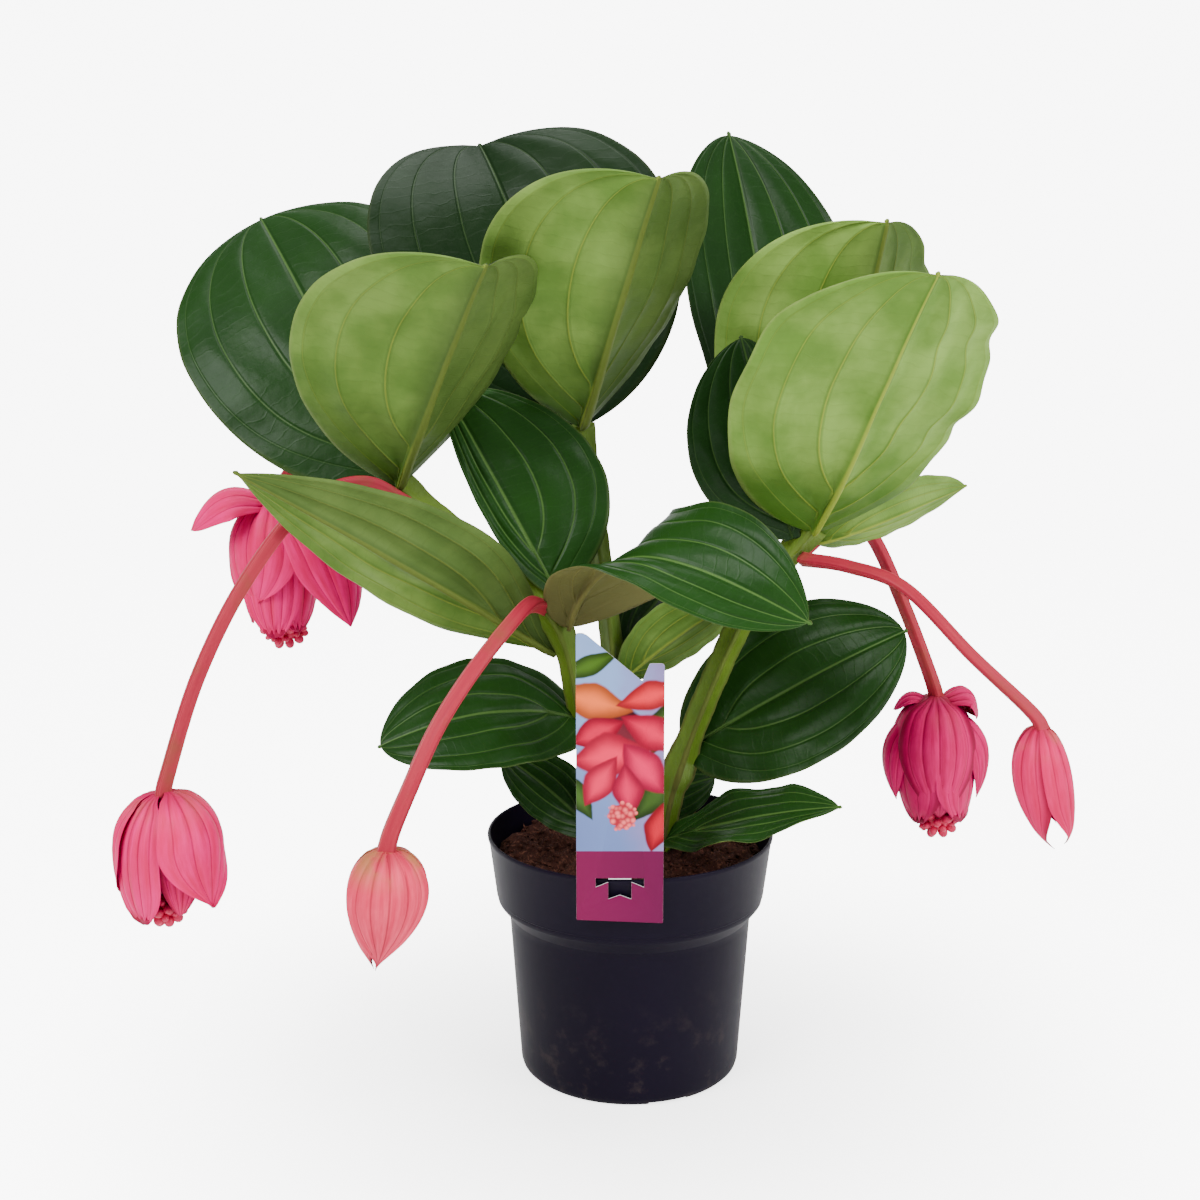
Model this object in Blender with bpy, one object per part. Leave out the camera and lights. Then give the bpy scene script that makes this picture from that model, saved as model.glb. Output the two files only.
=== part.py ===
"""Potted medinilla: broad veined leaves on three woody stems, pink blooms hanging on arched stalks.

Sizes are in millimetres and become metres where the meshes are made. The origin is the middle of the
pot's foot, +Z is up, and the plant's front, with its card label, faces -Y.
"""
import math

import bmesh
import bpy
from mathutils import Matrix, Vector

MM = 0.001
CLEARANCE = 0.3

# Nursery pot
POT_HEIGHT = 147.0
POT_WALL = 1.6
RIM_RADIUS = 85.0
COLLAR_FOOT_RADIUS = 79.0
COLLAR_FOOT_Z = 106.0
SHOULDER_FOOT_Z = 98.0
BODY_TOP_RADIUS = 72.5
BASE_RADIUS = 66.0
BASE_BEND = 5.0
FLOOR_THICKNESS = 2.0
PAD_RADIUS = 30.0
FOOT_RING_INNER = 56.0
FOOT_RECESS = 2.5
FOOT_NOTCH_WIDTH = 24.0
POT_SIDES = 36

# Peat in the pot
SOIL_TOP_Z = 134.0
SOIL_ROUGHNESS = 2.0
SOIL_CROWN = 2.0

# Card label, with a tab folded back over the rim
LABEL_CENTRE_X = -7.0
LABEL_WIDTH = 48.0
LABEL_THICKNESS = 0.8
LABEL_BOTTOM_Z = 124.0
LABEL_LEFT_TOP_Z = 288.0
LABEL_RIGHT_TOP_Z = 271.0
LABEL_VALLEY_Z = 261.0
LABEL_CUT_TOP_Z = POT_HEIGHT + 1.5
LABEL_CUT_WIDTH = 13.0
LABEL_CUT_EAR = 7.0
LABEL_CUT_EAR_HEIGHT = 4.0
LABEL_CUT_DEPTH = 12.5

# Leaves
LEAF_THICKNESS = 1.0
MIDRIB_HEIGHT = 2.2
VEIN_LINES = (0.0, 0.34, 0.76)
LEAF_COLUMNS = (0.0, 0.16, 0.34, 0.54, 0.76, 1.0)
SMALL_LEAF_COLUMNS = (0.0, 0.34, 0.70, 1.0)
LEAF_STUB = 5.0

# Colours, with roughness
POT_BLACK = (0.013, 0.012, 0.022, 1.0)
PEAT_BROWN = (0.060, 0.028, 0.018, 1.0)
LABEL_LILAC = (0.42, 0.50, 0.72, 1.0)
STEM_GREEN = (0.16, 0.24, 0.045, 1.0)
LEAF_DARK = (0.012, 0.075, 0.014, 1.0)
LEAF_PALE = (0.23, 0.37, 0.09, 1.0)
STALK_PINK = (0.52, 0.13, 0.13, 1.0)
BRACT_PINK = (0.80, 0.09, 0.17, 1.0)
BERRY_PINK = (0.78, 0.06, 0.13, 1.0)


def clear_scene():
    for item in list(bpy.data.objects):
        bpy.data.objects.remove(item, do_unlink=True)


def principled(name, colour, roughness):
    material = bpy.data.materials.new(name)
    material.use_nodes = True
    shader = material.node_tree.nodes["Principled BSDF"]
    shader.inputs["Base Color"].default_value = colour
    shader.inputs["Roughness"].default_value = roughness
    shader.inputs["Metallic"].default_value = 0.0
    return material


def add_mesh(name, vertices, faces, colour, roughness):
    """A named object whose mesh comes from points in millimetres."""
    mesh = bpy.data.meshes.new(name)
    mesh.from_pydata([tuple(c * MM for c in v) for v in vertices], [], faces)
    mesh.update()
    part = bpy.data.objects.new(name, mesh)
    bpy.context.collection.objects.link(part)
    mesh.materials.append(principled(name, colour, roughness))
    mesh.shade_smooth()
    mesh.set_sharp_from_angle(angle=math.radians(35))
    return part


def turned(profile, sides):
    """Points and faces of a closed profile of (radius, z) turned round Z, listed anticlockwise."""
    vertices = []
    rings = []
    for radius, z in profile:
        if radius == 0:
            rings.append([len(vertices)])
            vertices.append((0.0, 0.0, z))
            continue
        ring = []
        for i in range(sides):
            angle = 2 * math.pi * i / sides
            ring.append(len(vertices))
            vertices.append((radius * math.cos(angle), radius * math.sin(angle), z))
        rings.append(ring)
    faces = []
    for lower, upper in zip(rings, rings[1:]):
        for i in range(sides):
            j = (i + 1) % sides
            if len(lower) == 1:
                faces.append((lower[0], upper[j], upper[i]))
            elif len(upper) == 1:
                faces.append((lower[i], lower[j], upper[0]))
            else:
                faces.append((lower[i], lower[j], upper[j], upper[i]))
    return vertices, faces


def hide_as_cutter(part):
    part.hide_render = True
    part.display_type = "WIRE"


def cut(part, cutter):
    modifier = part.modifiers.new("cut_" + cutter.name, "BOOLEAN")
    modifier.operation = "DIFFERENCE"
    modifier.solver = "EXACT"
    modifier.object = cutter


def keep_largest_shell(mesh):
    """Drop loose scraps and the walls of sealed hollows, so that one closed shell is left."""
    shape = bmesh.new()
    shape.from_mesh(mesh)
    shells = []
    seen = set()
    for face in shape.faces:
        if face in seen:
            continue
        shell = []
        stack = [face]
        seen.add(face)
        while stack:
            current = stack.pop()
            shell.append(current)
            for edge in current.edges:
                for other in edge.link_faces:
                    if other not in seen:
                        seen.add(other)
                        stack.append(other)
        shells.append(shell)
    shells.sort(key=len)
    for shell in shells[:-1]:
        bmesh.ops.delete(shape, geom=shell, context="FACES")
    shape.to_mesh(mesh)
    shape.free()


def join_by_union(name, pieces, colour, roughness, solver="EXACT"):
    """One closed body from pieces that sink into each other."""
    group = bpy.data.collections.new(name + "_pieces")
    bpy.context.scene.collection.children.link(group)
    whole = pieces[0]
    for piece in pieces[1:]:
        bpy.context.collection.objects.unlink(piece)
        group.objects.link(piece)
    modifier = whole.modifiers.new("union", "BOOLEAN")
    modifier.operation = "UNION"
    modifier.solver = solver
    modifier.operand_type = "COLLECTION"
    modifier.collection = group
    bpy.context.view_layer.update()
    graph = bpy.context.evaluated_depsgraph_get()
    mesh = bpy.data.meshes.new_from_object(whole.evaluated_get(graph))
    keep_largest_shell(mesh)
    mesh.name = name
    mesh.materials.clear()
    mesh.materials.append(principled(name, colour, roughness))
    mesh.shade_smooth()
    mesh.set_sharp_from_angle(angle=math.radians(35))
    for piece in pieces:
        bpy.data.objects.remove(piece, do_unlink=True)
    bpy.data.collections.remove(group)
    result = bpy.data.objects.new(name, mesh)
    bpy.context.collection.objects.link(result)
    return result


def bezier(points, t):
    """A point of the cubic curve with four control points."""
    a, b, c, d = points
    s = 1 - t
    return a * s ** 3 + b * (3 * s * s * t) + c * (3 * s * t * t) + d * t ** 3


def bezier_slope(points, t):
    a, b, c, d = points
    s = 1 - t
    slope = (b - a) * (3 * s * s) + (c - b) * (6 * s * t) + (d - c) * (3 * t * t)
    return slope.normalized()


def smooth_route(points, steps):
    """Points along a Catmull-Rom curve through a few hand-placed points."""
    route = [Vector(p) for p in points]
    ends = [route[0] * 2 - route[1]] + route + [route[-1] * 2 - route[-2]]
    line = []
    for k in range(len(route) - 1):
        p0, p1, p2, p3 = ends[k:k + 4]
        for i in range(steps):
            t = i / steps
            line.append(0.5 * ((2 * p1) + (p2 - p0) * t + (2 * p0 - 5 * p1 + 4 * p2 - p3) * t * t
                               + (3 * p1 - p0 - 3 * p2 + p3) * t ** 3))
    line.append(route[-1].copy())
    return line


def swept(line, section, sizes, side_hint):
    """A closed tube: a section of (across, deep) points scaled along a line, its ends filled."""
    vertices = []
    count = len(section)
    side = Vector(side_hint)
    for i, point in enumerate(line):
        ahead = line[min(i + 1, len(line) - 1)]
        behind = line[max(i - 1, 0)]
        tangent = (ahead - behind).normalized()
        side = (side - tangent * side.dot(tangent)).normalized()
        deep = tangent.cross(side)
        for across, back in section:
            vertices.append(point + (side * across + deep * back) * sizes[i])
    faces = []
    for i in range(len(line) - 1):
        for k in range(count):
            m = (k + 1) % count
            a, b = i * count + k, i * count + m
            faces.append((a, b, b + count, a + count))
    faces.append(tuple(reversed(range(count))))
    last = (len(line) - 1) * count
    faces.append(tuple(last + k for k in range(count)))
    return vertices, faces


# Blades: leaves and bracts

def half_outline(t, widest, base_power, tip_power):
    """Share of the half width at a place along the midrib, 0 at both ends and 1 at the widest."""
    if t < widest:
        return (1 - (1 - t / widest) ** 2) ** base_power
    return (1 - ((t - widest) / (1 - widest)) ** 2) ** tip_power


def across_offset(distance, width, fold, curl):
    """Out and up of a point on one half: it leaves the midrib at the fold angle and curls evenly."""
    start = math.radians(fold)
    bend = math.radians(curl)
    if abs(bend) < 0.01:
        return width * distance * math.cos(start), width * distance * math.sin(start)
    out = width * (math.sin(start + bend * distance) - math.sin(start)) / bend
    up = width * (math.cos(start) - math.cos(start + bend * distance)) / bend
    return out, up


def vein_quilting(u):
    """0 on the vein lines and 1 halfway between them."""
    for inner, outer in zip(VEIN_LINES, VEIN_LINES[1:] + (1.3,)):
        if u <= outer:
            return math.sin(math.pi * (u - inner) / (outer - inner)) ** 2
    return 0.0


def blade_surface(spec):
    """The blade's upper side as a function of t along the midrib and u across, -1 to 1."""
    base = Vector(spec["base"])
    tip = Vector(spec["tip"])
    length = (tip - base).length
    along = (tip - base).normalized()
    facing = Vector(spec["facing"])
    facing = (facing - along * facing.dot(along)).normalized()
    right = along.cross(facing)
    rise = spec.get("arch", (0.0, 0.0))
    sway = spec.get("sway", (0.0, 0.0))
    controls = [
        base,
        base + along * (length / 3) + facing * rise[0] + right * sway[0],
        base + along * (length * 2 / 3) + facing * rise[1] + right * sway[1],
        tip,
    ]
    fold = spec.get("fold", (8.0, 8.0))
    curl = spec.get("curl", (0.0, 0.0))
    twist = spec.get("twist", 0.0)
    unfold = spec.get("unfold", 0.5)
    wave, waves, phase = spec.get("wave", (0.0, 1.0, 0.0))
    quilt = spec.get("quilt", 1.2)
    width = spec["half_width"]
    widths = spec.get("widths", (1.0, 1.0))

    def point(t, u):
        tangent = bezier_slope(controls, t)
        up = (facing - tangent * facing.dot(tangent)).normalized()
        up = Matrix.Rotation(math.radians(twist * (t - 0.5)), 3, tangent) @ up
        out = tangent.cross(up)
        share = half_outline(t, spec["widest"], spec["base_power"], spec["tip_power"])
        stub = spec.get("stub", LEAF_STUB) * (1 - t) + 0.8 * t
        side = 0 if u < 0 else 1
        reach = max(width * widths[side] * share, stub)
        flat = 1.0 - unfold * t
        x, z = across_offset(abs(u), reach, fold[side] * flat, curl[side])
        x *= -1 if u < 0 else 1
        z += quilt * share * vein_quilting(abs(u))
        z += wave * share * u * u * math.sin(2 * math.pi * (waves * t + phase) + (1.3 if u < 0 else 0))
        return bezier(controls, t) + out * x + up * z

    return point


def blade(name, spec, colour, roughness):
    """A closed blade: upper side, under side with the midrib proud, and the margin between them."""
    point = blade_surface(spec)
    half = spec.get("columns", LEAF_COLUMNS)
    columns = [-u for u in reversed(half[1:])] + list(half)
    rows = spec.get("rows", 9)
    thickness = spec.get("thickness", LEAF_THICKNESS)
    rib = spec.get("rib", MIDRIB_HEIGHT)
    upper, under = [], []
    for i in range(rows + 1):
        even = i / rows
        t = 0.45 * even + 0.55 * (1 - math.cos(math.pi * even)) / 2
        for u in columns:
            p = point(t, u)
            du, dt = 0.02, 0.02
            across = point(t, min(u + du, 1)) - point(t, max(u - du, -1))
            ahead = point(min(t + dt, 1), u) - point(max(t - dt, 0), u)
            normal = across.cross(ahead).normalized()
            deep = thickness + (rib * (1 - 0.75 * t) if abs(u) < 0.01 else 0)
            upper.append(p)
            under.append(p - normal * deep)
    wide = len(columns)
    total = len(upper)
    faces = []
    for i in range(rows):
        for k in range(wide - 1):
            a = i * wide + k
            b, c, d = a + 1, a + wide + 1, a + wide
            faces += [(a, b, c), (a, c, d)]
            faces += [(total + a, total + c, total + b), (total + a, total + d, total + c)]
    rim = [k for k in range(wide)]
    rim += [i * wide + wide - 1 for i in range(1, rows + 1)]
    rim += [rows * wide + k for k in range(wide - 2, -1, -1)]
    rim += [i * wide for i in range(rows - 1, 0, -1)]
    for a, b in zip(rim, rim[1:] + rim[:1]):
        faces += [(b, a, total + a), (b, total + a, total + b)]
    return add_mesh(name, upper + under, faces, colour, roughness)


# Pot, peat and label

def build_pot():
    profile = [
        (0.0, 0.0),
        (PAD_RADIUS, 0.0),
        (PAD_RADIUS + 2, FOOT_RECESS),
        (FOOT_RING_INNER - 2, FOOT_RECESS),
        (FOOT_RING_INNER, 0.0),
        (BASE_RADIUS - BASE_BEND, 0.0),
        (BASE_RADIUS - 1.5, BASE_BEND * 0.3),
        (BASE_RADIUS, BASE_BEND),
        (BODY_TOP_RADIUS, SHOULDER_FOOT_Z),
        (COLLAR_FOOT_RADIUS, COLLAR_FOOT_Z),
        (RIM_RADIUS, POT_HEIGHT),
        (RIM_RADIUS - POT_WALL, POT_HEIGHT),
        (COLLAR_FOOT_RADIUS - POT_WALL, COLLAR_FOOT_Z + 1),
        (BODY_TOP_RADIUS - POT_WALL, SHOULDER_FOOT_Z + 1),
        (BASE_RADIUS - POT_WALL, FOOT_RECESS + FLOOR_THICKNESS),
        (0.0, FOOT_RECESS + FLOOR_THICKNESS),
    ]
    vertices, faces = turned(profile, POT_SIDES)
    pot = add_mesh("pot", vertices, faces, POT_BLACK, 0.45)
    for angle in (-70, 50, 170):
        notch = box_between("foot_notch_%d" % angle, (FOOT_RING_INNER - 6, -FOOT_NOTCH_WIDTH / 2, -1),
                            (BASE_RADIUS + 5, FOOT_NOTCH_WIDTH / 2, FOOT_RECESS - 0.5))
        notch.rotation_euler = (0, 0, math.radians(angle))
        hide_as_cutter(notch)
        cut(pot, notch)
    return pot


def box_between(name, low, high):
    corners = [(x, y, z) for x in (low[0], high[0]) for y in (low[1], high[1]) for z in (low[2], high[2])]
    faces = [(0, 1, 3, 2), (4, 6, 7, 5), (0, 4, 5, 1), (2, 3, 7, 6), (0, 2, 6, 4), (1, 5, 7, 3)]
    return add_mesh(name, corners, faces, POT_BLACK, 0.5)


def build_soil(stem_cutters):
    inner = POT_WALL + CLEARANCE + 0.5
    collar_share = (SOIL_TOP_Z - COLLAR_FOOT_Z) / (POT_HEIGHT - COLLAR_FOOT_Z)
    top_radius = COLLAR_FOOT_RADIUS + (RIM_RADIUS - COLLAR_FOOT_RADIUS) * collar_share - inner - 2
    profile = [(0.0, FOOT_RECESS + FLOOR_THICKNESS + CLEARANCE),
               (BASE_RADIUS - inner, FOOT_RECESS + FLOOR_THICKNESS + CLEARANCE),
               (BODY_TOP_RADIUS - inner, SHOULDER_FOOT_Z + 1),
               (COLLAR_FOOT_RADIUS - inner - 0.6, COLLAR_FOOT_Z + 1.5),
               (top_radius, SOIL_TOP_Z - 3)]
    for share in (0.86, 0.66, 0.45, 0.22, 0.0):
        profile.append((top_radius * share, SOIL_TOP_Z))
    vertices, faces = turned(profile, POT_SIDES)
    bumpy = []
    for x, y, z in vertices:
        if z >= SOIL_TOP_Z - 4:
            lump = math.sin(x * 0.21 + 1.0) * math.cos(y * 0.17) + 0.6 * math.sin(x * 0.47 - y * 0.39)
            z += SOIL_ROUGHNESS * lump + SOIL_CROWN * (1 - (x * x + y * y) / top_radius ** 2)
        bumpy.append((x, y, z))
    soil = add_mesh("soil", bumpy, faces, PEAT_BROWN, 0.95)
    for cutter in stem_cutters:
        cut(soil, cutter)
    return soil


def extruded_outline(name, outline, y_front, y_back):
    """A flat plate standing across Y, from an outline of (x, z) listed anticlockwise from the front."""
    count = len(outline)
    vertices = [(x, y_front, z) for x, z in outline] + [(x, y_back, z) for x, z in outline]
    faces = [tuple(range(count)), tuple(reversed(range(count, 2 * count)))]
    for a in range(count):
        b = (a + 1) % count
        faces.append((b, a, count + a, count + b))
    return add_mesh(name, vertices, faces, LABEL_LILAC, 0.35)


def build_label():
    """The card, its cut-out under the rim's edge, and the tab that was folded back out of it."""
    left = LABEL_CENTRE_X - LABEL_WIDTH / 2
    right = LABEL_CENTRE_X + LABEL_WIDTH / 2
    back = -(RIM_RADIUS + CLEARANCE)
    front = back - LABEL_THICKNESS
    card = extruded_outline("card", [
        (left, LABEL_BOTTOM_Z),
        (right, LABEL_BOTTOM_Z - 2),
        (right, LABEL_RIGHT_TOP_Z - 2),
        (right - 1.5, LABEL_RIGHT_TOP_Z),
        (right - 8, LABEL_RIGHT_TOP_Z),
        (right - 12, LABEL_VALLEY_Z),
        (left + 4.5, LABEL_LEFT_TOP_Z),
        (left, LABEL_LEFT_TOP_Z - 1),
    ], front, back)
    half = LABEL_CUT_WIDTH / 2
    ear = half + LABEL_CUT_EAR
    top = LABEL_CUT_TOP_Z
    x = LABEL_CENTRE_X
    window = extruded_outline("label_window", [
        (x - half, top - LABEL_CUT_DEPTH),
        (x, top - LABEL_CUT_DEPTH + 2.5),
        (x + half, top - LABEL_CUT_DEPTH),
        (x + half, top - LABEL_CUT_EAR_HEIGHT + 1.5),
        (x + ear, top - LABEL_CUT_EAR_HEIGHT - 1.5),
        (x + ear, top),
        (x - ear, top),
        (x - ear, top - LABEL_CUT_EAR_HEIGHT - 1.5),
        (x - half, top - LABEL_CUT_EAR_HEIGHT + 1.5),
    ], front - 1, back + 1)
    hide_as_cutter(window)
    cut(card, window)
    inside = -(RIM_RADIUS - POT_WALL - CLEARANCE) + 4.0
    fold = box_between("label_fold", (x - half, back - LABEL_THICKNESS / 2, top - 0.2),
                       (x + half, inside, top - 0.2 + LABEL_THICKNESS))
    hang = box_between("label_tab", (x - half, inside - LABEL_THICKNESS, top - 11.0),
                       (x + half, inside, top + 0.3))
    return join_by_union("plant_label", [card, fold, hang], LABEL_LILAC, 0.35)


# Stems

SQUARE_STEM = [(1.0, -0.75), (1.0, 0.75), (0.75, 1.0), (-0.75, 1.0),
               (-1.0, 0.75), (-1.0, -0.75), (-0.75, -1.0), (0.75, -1.0)]
STEM_STEPS = 3
NODE_SWELLING = 1.35
NODE_REACH = 0.4

STEMS = {
    "stem_right": dict(route=[(18, 2, 112), (21, 1, 150), (29, 0, 185), (47, -2, 236), (69, -3, 284), (103, -8, 333)],
                       half_width=6.0, nodes=(2, 5)),
    "stem_centre": dict(route=[(-4, 26, 112), (-7, 24, 170), (-9, 20, 235), (-18, 17, 310), (-30, 14, 388)],
                        half_width=5.2, nodes=(4,)),
    "stem_left": dict(route=[(-16, -8, 112), (-20, -12, 170), (-30, -20, 225), (-44, -30, 283), (-86, -26, 322),
                             (-132, -14, 358)],
                      half_width=5.2, nodes=(3, 5)),
}


def build_stem(name, spec, grow=0.0):
    """A square stem with swollen nodes; grown a little, it is the cutter that keeps other parts clear."""
    line = smooth_route(spec["route"], STEM_STEPS)
    sizes = []
    for i in range(len(line)):
        place = i / STEM_STEPS
        size = spec["half_width"]
        for node in spec["nodes"]:
            if abs(place - node) < NODE_REACH:
                size *= 1 + (NODE_SWELLING - 1) * (1 - abs(place - node) / NODE_REACH)
        sizes.append(size + grow)
    vertices, faces = swept(line, SQUARE_STEM, sizes, (1, -1, 0))
    return add_mesh(name, vertices, faces, STEM_GREEN, 0.5)


def build_stems():
    """The stems, and the slightly thicker cutters that keep leaves, stalks and peat clear of them."""
    cutters = []
    for name, spec in STEMS.items():
        build_stem(name, spec)
        cutter = build_stem(name + "_clearance", spec, CLEARANCE)
        hide_as_cutter(cutter)
        cutters.append(cutter)
    return cutters


# Leaves. Facing is where the upper side looks; arch lifts the midrib, sway moves it sideways.

LEAVES = {
    "leaf_back_left": dict(
        stem=2, base=(-134, -9.5, 358), tip=(-224, 98, 503), facing=(0.0, -0.87, 0.49), half_width=80, widest=0.58,
        base_power=0.55, tip_power=0.5, arch=(14, 28), fold=(4, 14), curl=(-10, -15)),
    "leaf_front_left": dict(
        stem=2, base=(-132, -24, 358), tip=(-76, -112, 484), facing=(-0.12, 0.81, 0.59), half_width=82, widest=0.56,
        base_power=0.6, tip_power=0.5, arch=(0, 8), fold=(46, 6), curl=(0, 10), unfold=0.1, widths=(0.62, 1.0)),
    "leaf_back_centre": dict(
        stem=1, base=(-28, 22, 386), tip=(-92, 126, 547), facing=(0.1, -0.8, 0.5), half_width=92, widest=0.56,
        base_power=0.55, tip_power=0.5, arch=(-4, 30), fold=(22, 18), curl=(-10, -10), unfold=0.0,
        widths=(1.06, 0.9)),
    "leaf_front_centre": dict(
        stem=1, base=(-29, 8, 388), tip=(12, -76, 527), facing=(0.0, 0.83, 0.5), half_width=80, widest=0.58,
        base_power=0.55, tip_power=0.5, arch=(-8, 6), fold=(52, 6), curl=(0, 8), unfold=0.1, widths=(0.88, 1.0)),
    "leaf_back_right": dict(
        stem=0, base=(103, 4, 328), tip=(62, 128, 553), facing=(0.1, -0.85, 0.5), half_width=62, widest=0.58,
        base_power=0.6, tip_power=0.75, arch=(-16, 12), fold=(36, 10), curl=(0, 0), unfold=0.1, widths=(1.04, 0.9)),
    "leaf_right": dict(
        stem=0, base=(111, -1, 334), tip=(135, -46, 504), facing=(0.0, 0.85, 0.4), half_width=80, widest=0.6,
        base_power=0.7, tip_power=0.5, arch=(14, 4), fold=(50, 5), curl=(0, 8), unfold=0.1, widths=(0.9, 1.0)),
    "leaf_front_right": dict(
        stem=0, base=(103, -16.5, 331), tip=(151, -116, 480), facing=(-0.15, 0.8, 0.6), half_width=76, widest=0.55,
        base_power=0.4, tip_power=0.5, arch=(-10, 4), fold=(6, 8), curl=(0, 8), wave=(2.0, 3.0, 0.0),
        widths=(0.88, 1.0)),
    "leaf_right_dark": dict(
        stem=0, base=(92, -14, 326), tip=(60, -26, 441), facing=(-0.1, -0.85, 0.5), half_width=46, widest=0.5,
        base_power=0.7, tip_power=0.6, arch=(2, 4), fold=(8, 10), curl=(0, 0), widths=(1.0, 0.5)),
    "leaf_centre_dark": dict(
        stem=2, base=(-42, -34, 298), tip=(-107, 3, 410), facing=(-0.1, -0.8, 0.6), half_width=58, widest=0.42,
        base_power=0.55, tip_power=0.75, arch=(4, 10), fold=(10, 5), curl=(0, -10), unfold=0.5, widths=(0.28, 1.0)),
    "leaf_left_long": dict(
        stem=2, base=(-44, -24, 262), tip=(-203, -120, 380), facing=(-0.1, 0.75, 0.65), half_width=38, widest=0.38,
        base_power=1.2, tip_power=0.95, arch=(2, 4), fold=(34, 10), curl=(0, 0)),
    "leaf_curled": dict(
        stem=2, base=(-36, -36, 280), tip=(90, -120, 302), facing=(0.1, -0.5, 0.85), half_width=41, widest=0.55,
        base_power=0.38, tip_power=0.7, arch=(56, 44), fold=(10, 10), curl=(0, 0), twist=110, widths=(1.0, 0.75)),
    "leaf_lower_left": dict(
        stem=2, base=(-27, -18, 220), tip=(-141, -60, 217), facing=(0.0, -0.6, 0.8), half_width=40, widest=0.5,
        base_power=0.5, tip_power=0.6, arch=(24, 24), fold=(8, 8), curl=(-10, -10)),
    "leaf_lower_right": dict(
        stem=0, base=(32, 6, 195), tip=(157, -18, 273), facing=(0.1, -0.75, 0.7), half_width=50, widest=0.5,
        base_power=0.5, tip_power=0.6, arch=(4, 10), fold=(8, 10), curl=(-10, -10)),
    "leaf_low_right": dict(
        stem=0, base=(20, -4, 142), tip=(114, -80, 188), facing=(0.0, -0.6, 0.8), half_width=22, widest=0.5,
        base_power=0.5, tip_power=0.8, arch=(5, 7), fold=(5, 15), curl=(0, 0), wave=(3.0, 2.5, 0.1),
        quilt=0.6, rib=1.0, stub=4),
    "leaf_low_left": dict(
        stem=2, base=(-20, -12, 148), tip=(-76, 10, 190), facing=(0.1, -0.7, 0.7), half_width=21, widest=0.5,
        base_power=0.6, tip_power=0.7, arch=(6, 8), rows=7, columns=SMALL_LEAF_COLUMNS, quilt=0.0, rib=1.0, stub=3),
    "leaf_low_back": dict(
        stem=1, base=(-5, 24, 150), tip=(52, 30, 170), facing=(0.1, -0.8, 0.6), half_width=20, widest=0.5,
        base_power=0.6, tip_power=0.7, arch=(6, 8), rows=7, columns=SMALL_LEAF_COLUMNS, quilt=0.0, rib=1.0, stub=3),
    "leaf_inner_pale": dict(
        stem=1, base=(-6, 16, 236), tip=(64, 14, 286), facing=(0.1, 0.7, 0.65), half_width=26, widest=0.5,
        base_power=0.6, tip_power=0.7, arch=(4, 6), rows=7, columns=SMALL_LEAF_COLUMNS, quilt=0.0, rib=1.0, stub=3),
    "leaf_inner_dark": dict(
        stem=1, base=(-9, 24, 248), tip=(34, 76, 290), facing=(0.1, -0.7, 0.6), half_width=20, widest=0.5,
        base_power=0.6, tip_power=0.7, arch=(6, 8), rows=7, columns=SMALL_LEAF_COLUMNS, quilt=0.0, rib=1.0, stub=3),
    "leaf_right_tip": dict(
        stem=0, base=(106, -3, 323), tip=(195, 18, 352), facing=(0.1, 0.6, 0.75), half_width=32, widest=0.5,
        base_power=0.6, tip_power=0.8, arch=(-4, 0), rows=7, columns=SMALL_LEAF_COLUMNS, quilt=0.0, rib=1.0, stub=3),
}
PALE_LEAVES = ("leaf_front_left", "leaf_front_centre", "leaf_right", "leaf_front_right", "leaf_left_long",
               "leaf_inner_pale", "leaf_right_tip")


def build_leaves(stem_cutters):
    for name, spec in LEAVES.items():
        colour = LEAF_PALE if name in PALE_LEAVES else LEAF_DARK
        leaf = blade(name, spec, colour, 0.35)
        cut(leaf, stem_cutters[spec["stem"]])


# Flower stalks: a ridged, slightly flat strap, swollen where the bloom hangs

RIDGED_STALK = [(1.0, 0.0), (0.55, 0.45), (0.0, 0.7), (-0.55, 0.45),
                (-1.0, 0.0), (-0.55, -0.45), (0.0, -0.7), (0.55, -0.45)]

STALK_NECK = 12.0
STALK_SEAT = 4.0
STALKS = {
    "stalk_1": dict(stem=2, bloom="bloom_1", half_width=4.0, route=[
        (-125, -11, 346), (-146, 30, 370), (-175, 68, 370), (-202, 92, 358)]),
    "stalk_2": dict(stem=2, bloom="bloom_2", half_width=4.5, route=[
        (-126, -22, 346), (-150, -40, 362), (-178, -66, 354), (-208, -88, 316), (-232, -103, 268)]),
    "stalk_3": dict(stem=2, bloom="bud_3", half_width=4.8, route=[
        (-49, -32, 290), (-57, -62, 298), (-68, -86, 291), (-87, -108, 270), (-104, -125, 245),
        (-118, -136, 215)]),
    "stalk_4": dict(stem=0, bloom="bloom_4", half_width=4.3, route=[
        (97, -2, 316), (128, 34, 330), (147, 48, 315), (168, 50, 271)]),
    "stalk_5": dict(stem=0, bloom="bud_5", half_width=4.0, route=[
        (98, -12, 314), (122, -34, 314), (150, -60, 307), (184, -80, 274)]),
}


def build_stalk(name, spec, grow=0.0):
    """A stalk that ends inside the top of its bloom; grown a little, it is the cutter for its seat."""
    x, y, z = (BLOOMS.get(spec["bloom"]) or BUDS[spec["bloom"]])["top"]
    ending = [(x, y, z + STALK_NECK), (x, y, z - STALK_SEAT - grow)]
    line = smooth_route(spec["route"] + ending, 3)
    count = len(line) - 1
    sizes = [spec["half_width"] * (1 + 0.25 * (i / count) ** 6) + grow * 1.5 for i in range(count + 1)]
    vertices, faces = swept(line, RIDGED_STALK, sizes, (1, 0.4, 0))
    return add_mesh(name, vertices, faces, STALK_PINK, 0.45)


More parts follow.
